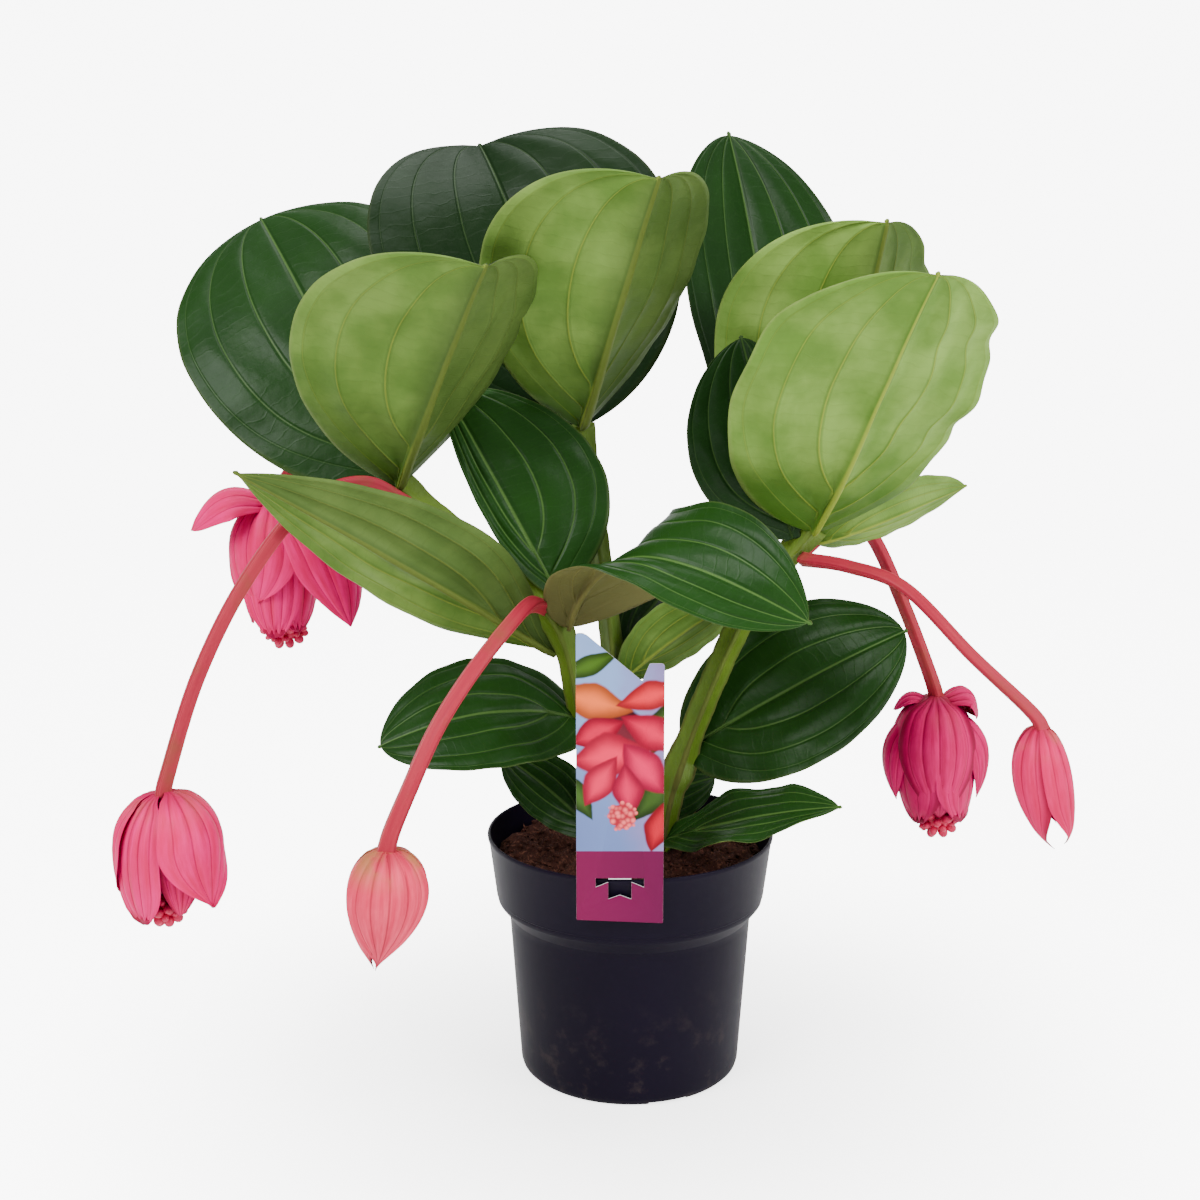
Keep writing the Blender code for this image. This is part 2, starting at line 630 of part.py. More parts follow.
def build_stalks(stem_cutters):
    """The stalks, and the slightly thicker cutters that seat them in their blooms."""
    cutters = {}
    for name, spec in STALKS.items():
        stalk = build_stalk(name, spec)
        cut(stalk, stem_cutters[spec["stem"]])
        cutter = build_stalk(name + "_seat", spec, CLEARANCE)
        hide_as_cutter(cutter)
        cutters[spec["bloom"]] = cutter
    return cutters


# Blooms: whorls of cupped bracts round a core, clustered flower buds below, and two closed buds

BRACT_COLUMNS = (0.0, 0.35, 0.7, 1.0)
BRACT_ROWS = 5
BRACT_START = 6.0
BERRY_RINGS = 3
BERRY_SIDES = 5


def bract(name, top, bract_spec):
    """A cupped petal that leaves the top of the bloom, bellies out and comes to a point."""
    turn = math.radians(bract_spec["turn"])
    radial = Vector((math.cos(turn), math.sin(turn), 0))
    origin = Vector(top) + Vector((0, 0, -BRACT_START)) + radial * 1.5
    tip = Vector(top) + radial * bract_spec["tip_out"] + Vector((0, 0, -bract_spec["drop"]))
    spec = dict(
        base=origin, tip=tip, facing=radial, half_width=bract_spec["half_width"],
        widest=bract_spec.get("widest", 0.55), base_power=0.5, tip_power=bract_spec.get("tip_power", 0.7),
        arch=(bract_spec["belly"], bract_spec["belly"] * bract_spec.get("lower_belly", 0.9)),
        fold=(-6, -6), curl=(-bract_spec["cup"], -bract_spec["cup"]), quilt=0.0, rib=0.6,
        columns=BRACT_COLUMNS, rows=BRACT_ROWS, thickness=1.2, stub=3.0,
        twist=bract_spec.get("twist", 0.0))
    return blade(name, spec, BRACT_PINK, 0.5)


def ellipsoid(name, centre, radii, rings, sides):
    vertices = [(0, 0, -1)]
    for i in range(1, rings):
        angle = math.pi * i / rings
        for k in range(sides):
            turn = 2 * math.pi * (k + 0.5 * (i % 2)) / sides
            vertices.append((math.sin(angle) * math.cos(turn), math.sin(angle) * math.sin(turn), -math.cos(angle)))
    vertices.append((0, 0, 1))
    faces = [(0, 1 + (k + 1) % sides, 1 + k) for k in range(sides)]
    for i in range(rings - 2):
        for k in range(sides):
            a, b = 1 + i * sides + k, 1 + i * sides + (k + 1) % sides
            faces.append((a, b, b + sides, a + sides))
    last = len(vertices) - 1
    faces += [(last, last - sides + k, last - sides + (k + 1) % sides) for k in range(sides)]
    placed = [(centre[0] + x * radii[0], centre[1] + y * radii[1], centre[2] + z * radii[2]) for x, y, z in vertices]
    return add_mesh(name, placed, faces, BRACT_PINK, 0.5)


# Each bloom's inner bracts lap each other in one round cup, open below; the outer ones stand away from it.

CUP_SIDES = 20
CUP_ROWS = 6
CUP_WIDEST = 0.45
CUP_LAP_STEP = 2.4
CUP_RIB = 0.7
MOUTH_SCALLOP = 2.5
POCKET_EDGE_SCALE = 0.86
POCKET_ROOF_SCALE = 0.72
BLOOMS = {
    "bloom_1": dict(top=(-221, 100, 334), radius=31.0, drop=88.0, mouth=0.62, bracts_round=4, turn=-60, pocket=10.0,
                    bunch=(11.0, 11.0, 8.0), lean=(2, 0), outer=[
        dict(turn=188, tip_out=54, drop=22, belly=16, half_width=25, cup=60, tip_power=0.9),
        dict(turn=-12, tip_out=49, drop=80, belly=27, half_width=27, cup=65, tip_power=0.9),
        dict(turn=70, tip_out=36, drop=74, belly=33, half_width=24, cup=65),
    ]),
    "bloom_2": dict(top=(-251, -110, 208), radius=26.0, drop=66.0, mouth=0.55, bracts_round=4, turn=-40, pocket=8.0,
                    bunch=(7.0, 7.0, 6.0), lean=(-3, 0), outer=[
        dict(turn=-20, tip_out=24, drop=62, belly=32, half_width=20, cup=70, tip_power=0.9),
        dict(turn=190, tip_out=17, drop=64, belly=31, half_width=17, cup=70, tip_power=0.9),
    ]),
    "bloom_4": dict(top=(188, 50, 218), radius=28.0, drop=80.0, mouth=0.5, bracts_round=4, turn=-50, pocket=8.0,
                    bunch=(8.5, 8.5, 7.0), lean=(5, 0), outer=[
        dict(turn=186, tip_out=22, drop=68, belly=30, half_width=20, cup=70, tip_power=0.9),
        dict(turn=-10, tip_out=28, drop=66, belly=30, half_width=20, cup=70, tip_power=0.9),
        dict(turn=20, tip_out=30, drop=8, belly=14, half_width=15, cup=60),
    ]),
}
BERRY_RADIUS = 3.4
BERRY_TURNS = 2.4
BERRY_COUNT = 9


def lapped_radius(around, bracts_round, step, rib, sides):
    """Added to a round body: each bract laps the next with a step, and fine ribs run down it."""
    lap = (around * bracts_round) % 1.0
    return step * (0.5 - lap) + rib * math.cos(math.pi * around * sides)


def build_cup(name, spec):
    """The lapped inner bracts: a ribbed round body with a scalloped mouth and a pocket above it."""
    top = spec["top"]
    vertices = [tuple(top)]
    rings = 0
    outer = [(i / CUP_ROWS, 1.0) for i in range(1, CUP_ROWS + 1)]
    inner = [(1.0, POCKET_EDGE_SCALE), (1.0 - spec["pocket"] / spec["drop"], POCKET_ROOF_SCALE)]
    for t, scale in outer + inner:
        share = half_outline(min(t, 0.999), CUP_WIDEST, 0.5, 0.7)
        if t > CUP_WIDEST:
            share = spec["mouth"] + (1 - spec["mouth"]) * share
        for k in range(CUP_SIDES):
            around = k / CUP_SIDES
            radius = share * (spec["radius"] + lapped_radius(around, spec["bracts_round"], CUP_LAP_STEP, CUP_RIB,
                                                             CUP_SIDES))
            turn = 2 * math.pi * around + math.radians(spec["turn"])
            scallop = MOUTH_SCALLOP * math.cos(3 * math.pi * around * spec["bracts_round"]) if t == 1.0 else 0.0
            vertices.append((top[0] + radius * scale * math.cos(turn) + spec["lean"][0] * t * t,
                             top[1] + radius * scale * math.sin(turn) + spec["lean"][1] * t * t,
                             top[2] - spec["drop"] * t - scallop))
        rings += 1
    vertices.append((top[0] + spec["lean"][0], top[1] + spec["lean"][1], top[2] - spec["drop"] + spec["pocket"]))
    faces = ring_faces(rings, CUP_SIDES, len(vertices) - 1)
    return add_mesh(name, vertices, faces, BRACT_PINK, 0.5)


def ring_faces(rings, sides, last):
    """Triangles from a top point down through rings of points to a last point."""
    faces = []
    for k in range(sides):
        m = (k + 1) % sides
        faces.append((0, 1 + k, 1 + m))
        for i in range(rings - 1):
            a, b = 1 + i * sides + k, 1 + i * sides + m
            faces += [(a, a + sides, b), (b, a + sides, b + sides)]
        low = 1 + (rings - 1) * sides
        faces.append((low + k, last, low + m))
    return faces


def build_berries(name, centre, bunch):
    """Round flower buds set in a spiral on a small heart."""
    pieces = [ellipsoid(name + "_heart", centre, [r * 0.9 for r in bunch], 4, 7)]
    for i in range(BERRY_COUNT):
        height = 0.45 - 1.4 * (i + 0.5) / BERRY_COUNT
        ring = math.sqrt(max(0.0, 1 - height * height))
        turn = 2 * math.pi * i / BERRY_TURNS
        place = [centre[0] + bunch[0] * ring * math.cos(turn),
                 centre[1] + bunch[1] * ring * math.sin(turn),
                 centre[2] + bunch[2] * height]
        size = BERRY_RADIUS * (0.85 + 0.1 * (i % 3))
        pieces.append(ellipsoid("%s_%02d" % (name, i), place, (size, size, size), BERRY_RINGS, BERRY_SIDES))
    return join_by_union(name, pieces, BERRY_PINK, 0.4)


def build_blooms(seat_cutters):
    for name, spec in BLOOMS.items():
        top = Vector(spec["top"])
        pieces = [build_cup(name + "_cup", spec)]
        for k, petal in enumerate(spec["outer"]):
            pieces.append(bract("%s_bract_%d" % (name, k), top, petal))
        bloom = join_by_union(name, pieces, BRACT_PINK, 0.5, "MANIFOLD")
        cut(bloom, seat_cutters[name])
        bunch = spec["bunch"]
        hang = spec["drop"] - spec["pocket"] + CLEARANCE + bunch[2] * 0.9
        centre = top + Vector((spec["lean"][0], spec["lean"][1], -hang))
        build_berries(name + "_berries", centre, bunch)


# A closed bud is one pointed body: each bract laps the next with a step, and ribs run down to the tips.
# A split lowers the tips of the front and back bracts, so that two points stand apart.

BUD_SIDES = 20
BUD_ROWS = 9
BUDS = {
    "bud_3": dict(top=(-129, -140, 186), radius=21.0, drop=69.0, widest=0.42, bracts=4, turn=-72, step=1.6,
                  rib=0.5, split=0.0, lean=(-8, 0)),
    "bud_5": dict(top=(220, -90, 238), radius=17.0, drop=71.0, widest=0.42, bracts=2, turn=-80, step=1.8,
                  rib=0.5, split=6.0, lean=(14, 0)),
}


def build_buds(seat_cutters):
    for name, spec in BUDS.items():
        top = spec["top"]
        vertices = [tuple(top)]
        for i in range(1, BUD_ROWS):
            t = i / BUD_ROWS
            share = half_outline(t, spec["widest"], 0.55, 0.85)
            for k in range(BUD_SIDES):
                around = k / BUD_SIDES
                radius = share * (spec["radius"] + lapped_radius(around, spec["bracts"], spec["step"], spec["rib"],
                                                                 BUD_SIDES))
                turn = 2 * math.pi * around + math.radians(spec["turn"])
                x = radius * math.cos(turn)
                y = radius * math.sin(turn)
                apart = spec["split"] * (t ** 6) * (1 if x > 0 else -1)
                vertices.append((top[0] + x + apart + spec["lean"][0] * t * t,
                                 top[1] + y + spec["lean"][1] * t * t, top[2] - spec["drop"] * t))
        vertices.append((top[0] + spec["lean"][0], top[1] + spec["lean"][1], top[2] - spec["drop"]))
        faces = ring_faces(BUD_ROWS - 1, BUD_SIDES, len(vertices) - 1)
        bud = add_mesh(name, vertices, faces, BRACT_PINK, 0.5)
        cut(bud, seat_cutters[name])


def main():
    clear_scene()
    build_pot()
    cutters = build_stems()
    build_soil(cutters)
    build_label()
    build_leaves(cutters)
    seat_cutters = build_stalks(cutters)
    build_blooms(seat_cutters)
    build_buds(seat_cutters)


main()
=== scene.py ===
import math

import bpy
import numpy as np
from mathutils import Matrix, Vector


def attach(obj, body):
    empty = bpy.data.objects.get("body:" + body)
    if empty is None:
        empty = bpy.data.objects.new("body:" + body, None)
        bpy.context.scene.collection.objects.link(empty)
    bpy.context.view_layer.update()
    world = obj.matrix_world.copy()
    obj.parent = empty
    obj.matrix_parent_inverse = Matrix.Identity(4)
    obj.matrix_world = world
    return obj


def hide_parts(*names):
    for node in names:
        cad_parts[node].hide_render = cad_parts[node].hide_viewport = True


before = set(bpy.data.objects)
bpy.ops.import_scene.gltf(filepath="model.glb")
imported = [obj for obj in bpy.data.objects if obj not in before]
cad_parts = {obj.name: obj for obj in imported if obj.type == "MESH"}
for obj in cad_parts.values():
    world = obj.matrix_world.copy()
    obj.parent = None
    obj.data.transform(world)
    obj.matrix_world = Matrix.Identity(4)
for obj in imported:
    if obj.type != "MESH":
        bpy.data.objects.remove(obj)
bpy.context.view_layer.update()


# Pot
# A black nursery pot, injection moulded in thin polypropylene: deep collar, sloped shoulder and a foot ring
# with three drain notches. It is satin, with a little peat dust rubbed on it near the foot.

POT_SIDES = 96
# Radius and height of each ring, from the middle of the foot up the outside, over the rim and down inside
POT_RINGS = [
    (0.0300, 0.0000), (0.0320, 0.0025), (0.0540, 0.0025), (0.0560, 0.0000), (0.0610, 0.0000),
    (0.0636, 0.0006), (0.0652, 0.0022), (0.0660, 0.0050), (0.0664, 0.0110), (0.0720, 0.0930),
    (0.0725, 0.0975), (0.0729, 0.0983), (0.0786, 0.1055), (0.0792, 0.1064), (0.0795, 0.1080),
    (0.0796, 0.1092), (0.0800, 0.1096), (0.0843, 0.1432), (0.0850, 0.1445), (0.0852, 0.1458),
    (0.0849, 0.1467), (0.0842, 0.1470), (0.0836, 0.1466), (0.0833, 0.1450), (0.0776, 0.1080),
    (0.0712, 0.0990), (0.0650, 0.0080), (0.0643, 0.0048),
]
NOTCH_TURNS = (-70, 50, 170)
NOTCH_RADIUS = 0.060
NOTCH_SIZE = (0.030, 0.024, 0.004)


def heading(degrees):
    """The level direction at an angle from +X."""
    return Vector((math.cos(math.radians(degrees)), math.sin(math.radians(degrees)), 0))


def deselect_all():
    if bpy.context.object and bpy.context.object.mode != "OBJECT":
        bpy.ops.object.mode_set(mode="OBJECT")
    bpy.ops.object.select_all(action="DESELECT")


def take_new(name):
    """Name the object an operator has just added, and its mesh."""
    piece = bpy.context.object
    piece.name = name
    piece.data.name = name
    return piece


def pick(piece):
    """Select one piece and nothing else, for the operator that follows."""
    deselect_all()
    piece.select_set(True)
    bpy.context.view_layer.objects.active = piece


def settle(piece):
    """Put the place, turn and size of a piece in its mesh, so that its object sits at the origin."""
    pick(piece)
    bpy.ops.object.transform_apply(location=True, rotation=True, scale=True)


def add_node(tree, kind, sockets=None, **settings):
    """A shader node with its settings, each socket given a value or joined to another node's output."""
    item = tree.nodes.new("ShaderNode" + kind)
    for name, setting in settings.items():
        setattr(item, name, setting)
    for key, given in (sockets or {}).items():
        if isinstance(given, bpy.types.NodeSocket):
            tree.links.new(given, item.inputs[key])
        else:
            item.inputs[key].default_value = given
    return item


def maths(tree, operation, first, second=0.0):
    return add_node(tree, "Math", {0: first, 1: second}, operation=operation).outputs[0]


def times(tree, first, second):
    return maths(tree, "MULTIPLY", first, second)


def plus(tree, first, second):
    return maths(tree, "ADD", first, second)


def object_place(tree):
    return add_node(tree, "TexCoord").outputs["Object"]


def split(tree, vector):
    """The X, Y and Z of a vector, or the U and V of a UV place."""
    return add_node(tree, "SeparateXYZ", {0: vector}).outputs


def scaled(tree, vector, scale):
    return add_node(tree, "Mapping", {"Vector": vector, "Scale": scale}).outputs[0]


def set_mix(tree, share, first, second):
    """Mix two colours: the Mix node's colour sockets share their names with others, so they go by place."""
    first, second = [(*c, 1) if isinstance(c, tuple) else c for c in (first, second)]
    return add_node(tree, "Mix", {0: share, 6: first, 7: second}, data_type="RGBA").outputs[2]


def layered(tree, colour, *layers):
    """Layers painted over a colour, each a mask, the share of it that covers, and the layer's own colour."""
    for mask, share, tint in layers:
        colour = set_mix(tree, times(tree, mask, share), colour, tint)
    return colour


def ramp(tree, value, low, high, smooth=True):
    """0 below low, 1 above high, eased between them; low may be above high."""
    eased = "SMOOTHSTEP" if smooth else "LINEAR"
    sockets = {"Value": value, "From Min": low, "From Max": high}
    return add_node(tree, "MapRange", sockets, interpolation_type=eased).outputs[0]


def new_material(name, roughness=0.5, specular=0.5):
    material = bpy.data.materials.new(name)
    material.use_nodes = True
    shader = material.node_tree.nodes["Principled BSDF"]
    shader.inputs["Roughness"].default_value = roughness
    shader.inputs["Specular IOR Level"].default_value = specular
    return material, material.node_tree, shader


def cover(tree, shader, colour, normal, roughness=None):
    """Join what a material's nodes work out to its shader."""
    tree.links.new(colour, shader.inputs["Base Color"])
    tree.links.new(normal, shader.inputs["Normal"])
    if roughness:
        tree.links.new(roughness, shader.inputs["Roughness"])


def noise_of(tree, place, scale, detail=4.0, roughness=0.5):
    sockets = {"Vector": place, "Scale": scale, "Detail": detail, "Roughness": roughness}
    return add_node(tree, "TexNoise", sockets).outputs[0]


def bumped(tree, height, strength, distance):
    sockets = {"Height": height, "Strength": strength, "Distance": distance}
    return add_node(tree, "Bump", sockets).outputs["Normal"]


def new_group(name, inputs, outputs):
    """An empty shader node group with named sockets, and its inner input and output nodes."""
    group = bpy.data.node_groups.new(name, "ShaderNodeTree")
    for way, sockets in (("INPUT", inputs), ("OUTPUT", outputs)):
        for socket in sockets:
            kind = "NodeSocketVector" if socket in ("Vector", "Normal") else "NodeSocketFloat"
            group.interface.new_socket(socket, in_out=way, socket_type=kind)
    return group, group.nodes.new("NodeGroupInput").outputs, group.nodes.new("NodeGroupOutput").inputs


# Grain: fine noise that gives a value for colour and a bump for the surface
GRAIN_SOCKETS = ("Vector", "Scale", "Detail", "Roughness", "Strength", "Distance")
grain_group, inner, outer = new_group("grain", GRAIN_SOCKETS, ("Value", "Normal"))
value = noise_of(grain_group, *[inner[socket] for socket in GRAIN_SOCKETS[:4]])
grain_group.links.new(value, outer["Value"])
grain_group.links.new(bumped(grain_group, value, inner["Strength"], inner["Distance"]), outer["Normal"])


def grain(tree, place, scale, detail, roughness, strength, distance):
    """The grain group in a material: its value and its normal."""
    sockets = dict(zip(GRAIN_SOCKETS, (place, scale, detail, roughness, strength, distance)))
    return add_node(tree, "Group", sockets, node_tree=grain_group).outputs


deselect_all()
bpy.ops.mesh.primitive_circle_add(vertices=POT_SIDES, radius=POT_RINGS[0][0], fill_type="NGON",
                                  location=(0, 0, POT_RINGS[0][1]))
pot = take_new("nursery_pot")
settle(pot)
bpy.ops.object.mode_set(mode="EDIT")
bpy.ops.mesh.select_all(action="SELECT")
bpy.ops.mesh.normals_make_consistent(inside=False)
bpy.ops.mesh.flip_normals()
for (radius, height), (next_radius, next_height) in zip(POT_RINGS, POT_RINGS[1:]):
    bpy.ops.mesh.extrude_region_move(TRANSFORM_OT_translate={"value": (0, 0, next_height - height)})
    grow = next_radius / radius
    bpy.ops.transform.resize(value=(grow, grow, 1))
bpy.ops.mesh.select_all(action="SELECT")
bpy.ops.mesh.normals_make_consistent(inside=False)
bpy.ops.object.mode_set(mode="OBJECT")
for turn in NOTCH_TURNS:
    deselect_all()
    bpy.ops.mesh.primitive_cube_add(size=1, location=heading(turn) * NOTCH_RADIUS)
    notch = take_new("foot_notch")
    notch.scale = NOTCH_SIZE
    notch.rotation_euler = (0, 0, math.radians(turn))
    settle(notch)
    carve = pot.modifiers.new("notch", "BOOLEAN")
    carve.object = notch
    carve.solver = "EXACT"
    pick(pot)
    bpy.ops.object.modifier_apply(modifier="notch")
    bpy.data.objects.remove(notch)
pick(pot)
bpy.ops.object.shade_smooth_by_angle(angle=math.radians(30))

material, tree, shader = new_material("pot_plastic", specular=0.08)
place = object_place(tree)
cloud = noise_of(tree, place, 14.0, 5.0)
dust_spots = ramp(tree, noise_of(tree, place, 70.0, 6.0, 0.65), 0.52, 0.7)
low_down = ramp(tree, split(tree, place)["Z"], 0.085, 0.0)
dust = times(tree, dust_spots, low_down)
plastic = set_mix(tree, cloud, (0.0026, 0.0012, 0.0062), (0.0050, 0.0026, 0.0105))
plastic = layered(tree, plastic, (dust, 0.4, (0.045, 0.032, 0.028)))
flow = noise_of(tree, scaled(tree, place, (1, 1, 0.12)), 120.0, 3.0)
speckle = noise_of(tree, place, 900.0, 2.0)
skin = plus(tree, times(tree, flow, 0.6), times(tree, speckle, 0.2))
cover(tree, shader, plastic, bumped(tree, skin, 0.25, 0.0004), plus(tree, times(tree, cloud, 0.14), 0.32))
pot.data.materials.append(material)
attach(pot, "root")
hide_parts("pot")


# Peat
# Fibrous brown potting peat, pressed round the root ball about 12 mm below the rim. Its top is uneven, and
# loose crumbs and short fibres lie on it.

PEAT_TOP = 0.1345
PEAT_RADIUS = 0.0793
# Radius and height of the peat's shoulder and foot inside the pot
PEAT_SIDES = [(0.0760, 0.1120), (0.0700, 0.0990), (0.0640, 0.0060)]
PEAT_FOOT = 0.0060
PEAT_RINGS, PEAT_AROUND = 46, 150
CRUMBS = 620
CRUMB_REACH = 0.0765
dice = np.random.RandomState(7)


def add_mesh(name, points, faces):
    """A piece from points in metres, with its object at the origin."""
    mesh = bpy.data.meshes.new(name)
    mesh.from_pydata(np.asarray(points, float).tolist(), [], faces)
    mesh.update()
    piece = bpy.data.objects.new(name, mesh)
    bpy.context.scene.collection.objects.link(piece)
    mesh.shade_smooth()
    return piece


def lumps(x, y):
    """Height of the peat's rough top, in millimetres, from waves of several lengths."""
    rough = 2.0 * np.sin(x * 0.21 + 1.0) * np.cos(y * 0.17) + 1.2 * np.sin(x * 0.47 - y * 0.39)
    rough += 0.8 * np.sin(x * 1.1 + 2.0 * np.sin(y * 0.7)) + 0.6 * np.sin(y * 1.9 - 1.3 * np.sin(x * 1.3))
    return rough + 0.35 * np.sin(x * 3.1 + y * 2.3) * np.sin(y * 4.1 - x * 1.7)


turns = [2 * math.pi * k / PEAT_AROUND for k in range(PEAT_AROUND)]
points = [(0.0, 0.0, PEAT_TOP)]
for i in range(1, PEAT_RINGS + 1):
    radius = PEAT_RADIUS * i / PEAT_RINGS
    edge = max(0.0, i / PEAT_RINGS - 0.86) / 0.14
    for turn in turns:
        x, y = radius * math.cos(turn), radius * math.sin(turn)
        points.append((x, y, PEAT_TOP + lumps(x * 1000, y * 1000) * 0.001 - 0.004 * edge * edge))
for radius, z in PEAT_SIDES:
    points += [(radius * math.cos(turn), radius * math.sin(turn), z) for turn in turns]
points.append((0.0, 0.0, PEAT_FOOT))
faces = [(0, 1 + k, 1 + (k + 1) % PEAT_AROUND) for k in range(PEAT_AROUND)]
for i in range(PEAT_RINGS + len(PEAT_SIDES) - 1):
    for k in range(PEAT_AROUND):
        a, b = 1 + i * PEAT_AROUND + k, 1 + i * PEAT_AROUND + (k + 1) % PEAT_AROUND
        faces.append((a, a + PEAT_AROUND, b + PEAT_AROUND, b))
low = len(points) - 1 - PEAT_AROUND
faces += [(low + k, len(points) - 1, low + (k + 1) % PEAT_AROUND) for k in range(PEAT_AROUND)]
peat = add_mesh("peat", points, faces)


def shape_of(piece):
    """The points and faces of a piece just added, which is then removed."""
    points = [tuple(v.co) for v in piece.data.vertices]
    faces = [tuple(f.vertices) for f in piece.data.polygons]
    bpy.data.objects.remove(piece)
    return points, faces


deselect_all()
bpy.ops.mesh.primitive_ico_sphere_add(subdivisions=2, radius=1.0)
seed, crumb_faces = shape_of(take_new("crumb"))
points, faces = [], []
for n in range(CRUMBS):
    radius = CRUMB_REACH * math.sqrt(dice.uniform(0.02, 1))
    turn = dice.uniform(0, 2 * math.pi)
    x, y = radius * math.cos(turn), radius * math.sin(turn)
    fibre = n % 4 == 0
    size = dice.uniform(0.0007, 0.0019) if not fibre else dice.uniform(0.0004, 0.0007)
    stretch = (dice.uniform(0.7, 1.4), dice.uniform(0.7, 1.3), dice.uniform(0.5, 0.9))
    if fibre:
        stretch = (dice.uniform(7, 15), 1.0, 1.0)
    spin = Matrix.Rotation(dice.uniform(0, 6.28), 3, "Z") @ Matrix.Rotation(dice.uniform(-0.4, 0.4), 3, "Y")
    rough = dice.uniform(0.72, 1.2, len(seed))
    start = len(points)
    z = PEAT_TOP + lumps(x * 1000, y * 1000) * 0.001 + size * 0.4
    for k, (a, b, c) in enumerate(seed):
        bend = 0.25 * a * a if fibre else 0.0
        p = spin @ Vector((a * stretch[0] * size, (b * rough[k] + bend * 8) * size * stretch[1],
                           c * size * stretch[2] * rough[k]))
        points.append((x + p.x, y + p.y, z + p.z))
    faces += [tuple(start + v for v in f) for f in crumb_faces]
loose = add_mesh("peat_crumbs", points, faces)

material, tree, shader = new_material("peat_fibre", 0.95, 0.12)
place = object_place(tree)
cloud = noise_of(tree, place, 60.0, 5.0, 0.6)
speck = ramp(tree, noise_of(tree, place, 420.0, 4.0, 0.7), 0.5, 0.72)
peat_colour = set_mix(tree, cloud, (0.0090, 0.0028, 0.0022), (0.064, 0.0200, 0.0135))
peat_colour = set_mix(tree, speck, peat_colour, (0.140, 0.055, 0.036))
cover(tree, shader, peat_colour, grain(tree, place, 700.0, 6.0, 0.7, 0.9, 0.0012)["Normal"])
for piece in (peat, loose):
    piece.data.materials.append(material)
    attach(piece, "root")
    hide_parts("soil")


# Plant label
# A tall coated card, die cut with rounded corners, a slanted top and a tongue. The tongue folds back out of
# the card and hooks over the pot's rim. Its print is a soft flower picture above a magenta band.

CARD_FRONT = -0.0861
CARD_BACK = -0.0853
CARD_OUTLINE = [
    (-0.0310, 0.1240), (0.0170, 0.1220), (0.0170, 0.2710), (0.0090, 0.2710), (0.0050, 0.2610),
    (-0.0265, 0.2880), (-0.0310, 0.2880),
]
CARD_ROUNDING = [0.0008, 0.0008, 0.0022, 0.0010, 0.0010, 0.0030, 0.0020]
CARD_WINDOW = [
    (-0.0135, 0.1360), (-0.0070, 0.1385), (-0.0005, 0.1360), (-0.0005, 0.1460), (0.0065, 0.1430),
    (0.0065, 0.1485), (-0.0205, 0.1485), (-0.0205, 0.1430), (-0.0135, 0.1460),
]
WINDOW_ROUNDING = [0.0004] * len(CARD_WINDOW)
CARD_EDGE = 0.00008
# The tongue's fold, back and height, from the card over the rim and down inside the pot
TONGUE_FOLD = [(CARD_FRONT + 0.0002, 0.1478), (CARD_BACK, 0.1484), (-0.0835, 0.1484), (-0.0806, 0.1480),
               (-0.0794, 0.1470), (-0.0790, 0.1450), (-0.0790, 0.1376)]
TONGUE_SIDES = (-0.0133, -0.0007)
TONGUE_HALF_THICKNESS = 0.0004


def rounded(outline, radii, steps=6):
    """The outline with each corner rounded."""
    path = []
    for k, (x, z) in enumerate(outline):
        corner = Vector((x, z))
        before = (Vector(outline[k - 1]) - corner).normalized()
        after = (Vector(outline[(k + 1) % len(outline)]) - corner).normalized()
        cut = radii[k]
        for i in range(steps + 1):
            t = i / steps
            path.append((corner + before * cut * (1 - t) ** 2 + after * cut * t * t)[:])
    return path


flat = bpy.data.curves.new("label_outline", "CURVE")
flat.dimensions = "2D"
flat.fill_mode = "BOTH"
flat.extrude = (CARD_BACK - CARD_FRONT) / 2 - CARD_EDGE
flat.bevel_depth = CARD_EDGE
flat.bevel_resolution = 1
for path in (rounded(CARD_OUTLINE, CARD_ROUNDING), rounded(CARD_WINDOW, WINDOW_ROUNDING, 3)):
    spline = flat.splines.new("POLY")
    spline.points.add(len(path) - 1)
    spline.use_cyclic_u = True
    for point, (x, z) in zip(spline.points, path):
        point.co = (x, z, 0, 1)
card = bpy.data.objects.new("plant_label_card", flat)
bpy.context.scene.collection.objects.link(card)
card.location = (0, (CARD_FRONT + CARD_BACK) / 2, 0)
card.rotation_euler = (math.radians(90), 0, 0)
pick(card)
bpy.ops.object.convert(target="MESH")
card = bpy.context.object
settle(card)
merge = card.modifiers.new("merge", "WELD")
merge.merge_threshold = 0.00001
bpy.ops.object.modifier_apply(modifier="merge")

points, faces = [], []
last = 4 * (len(TONGUE_FOLD) - 1)
for k, (y, z) in enumerate(TONGUE_FOLD):
    ahead = Vector(TONGUE_FOLD[min(k + 1, len(TONGUE_FOLD) - 1)]) - Vector(TONGUE_FOLD[max(k - 1, 0)])
    side = Vector((-ahead.y, ahead.x)).normalized() * TONGUE_HALF_THICKNESS
    for x in TONGUE_SIDES:
        points += [(x, y + side.x, z + side.y), (x, y - side.x, z - side.y)]
for a in range(0, last, 4):
    b = a + 4
    faces += [(a, a + 2, b + 2, b), (a + 1, b + 1, b + 3, a + 3), (a, b, b + 1, a + 1),
              (a + 2, a + 3, b + 3, b + 2)]
faces += [(0, 1, 3, 2), (last, last + 2, last + 3, last + 1)]
tongue = add_mesh("plant_label_tongue", points, faces)
for piece in (card, tongue):
    pick(piece)
    bpy.ops.object.mode_set(mode="EDIT")
    bpy.ops.mesh.select_all(action="SELECT")
    bpy.ops.mesh.normals_make_consistent(inside=False)
    bpy.ops.object.mode_set(mode="OBJECT")
    bpy.ops.object.shade_smooth_by_angle(angle=math.radians(35))

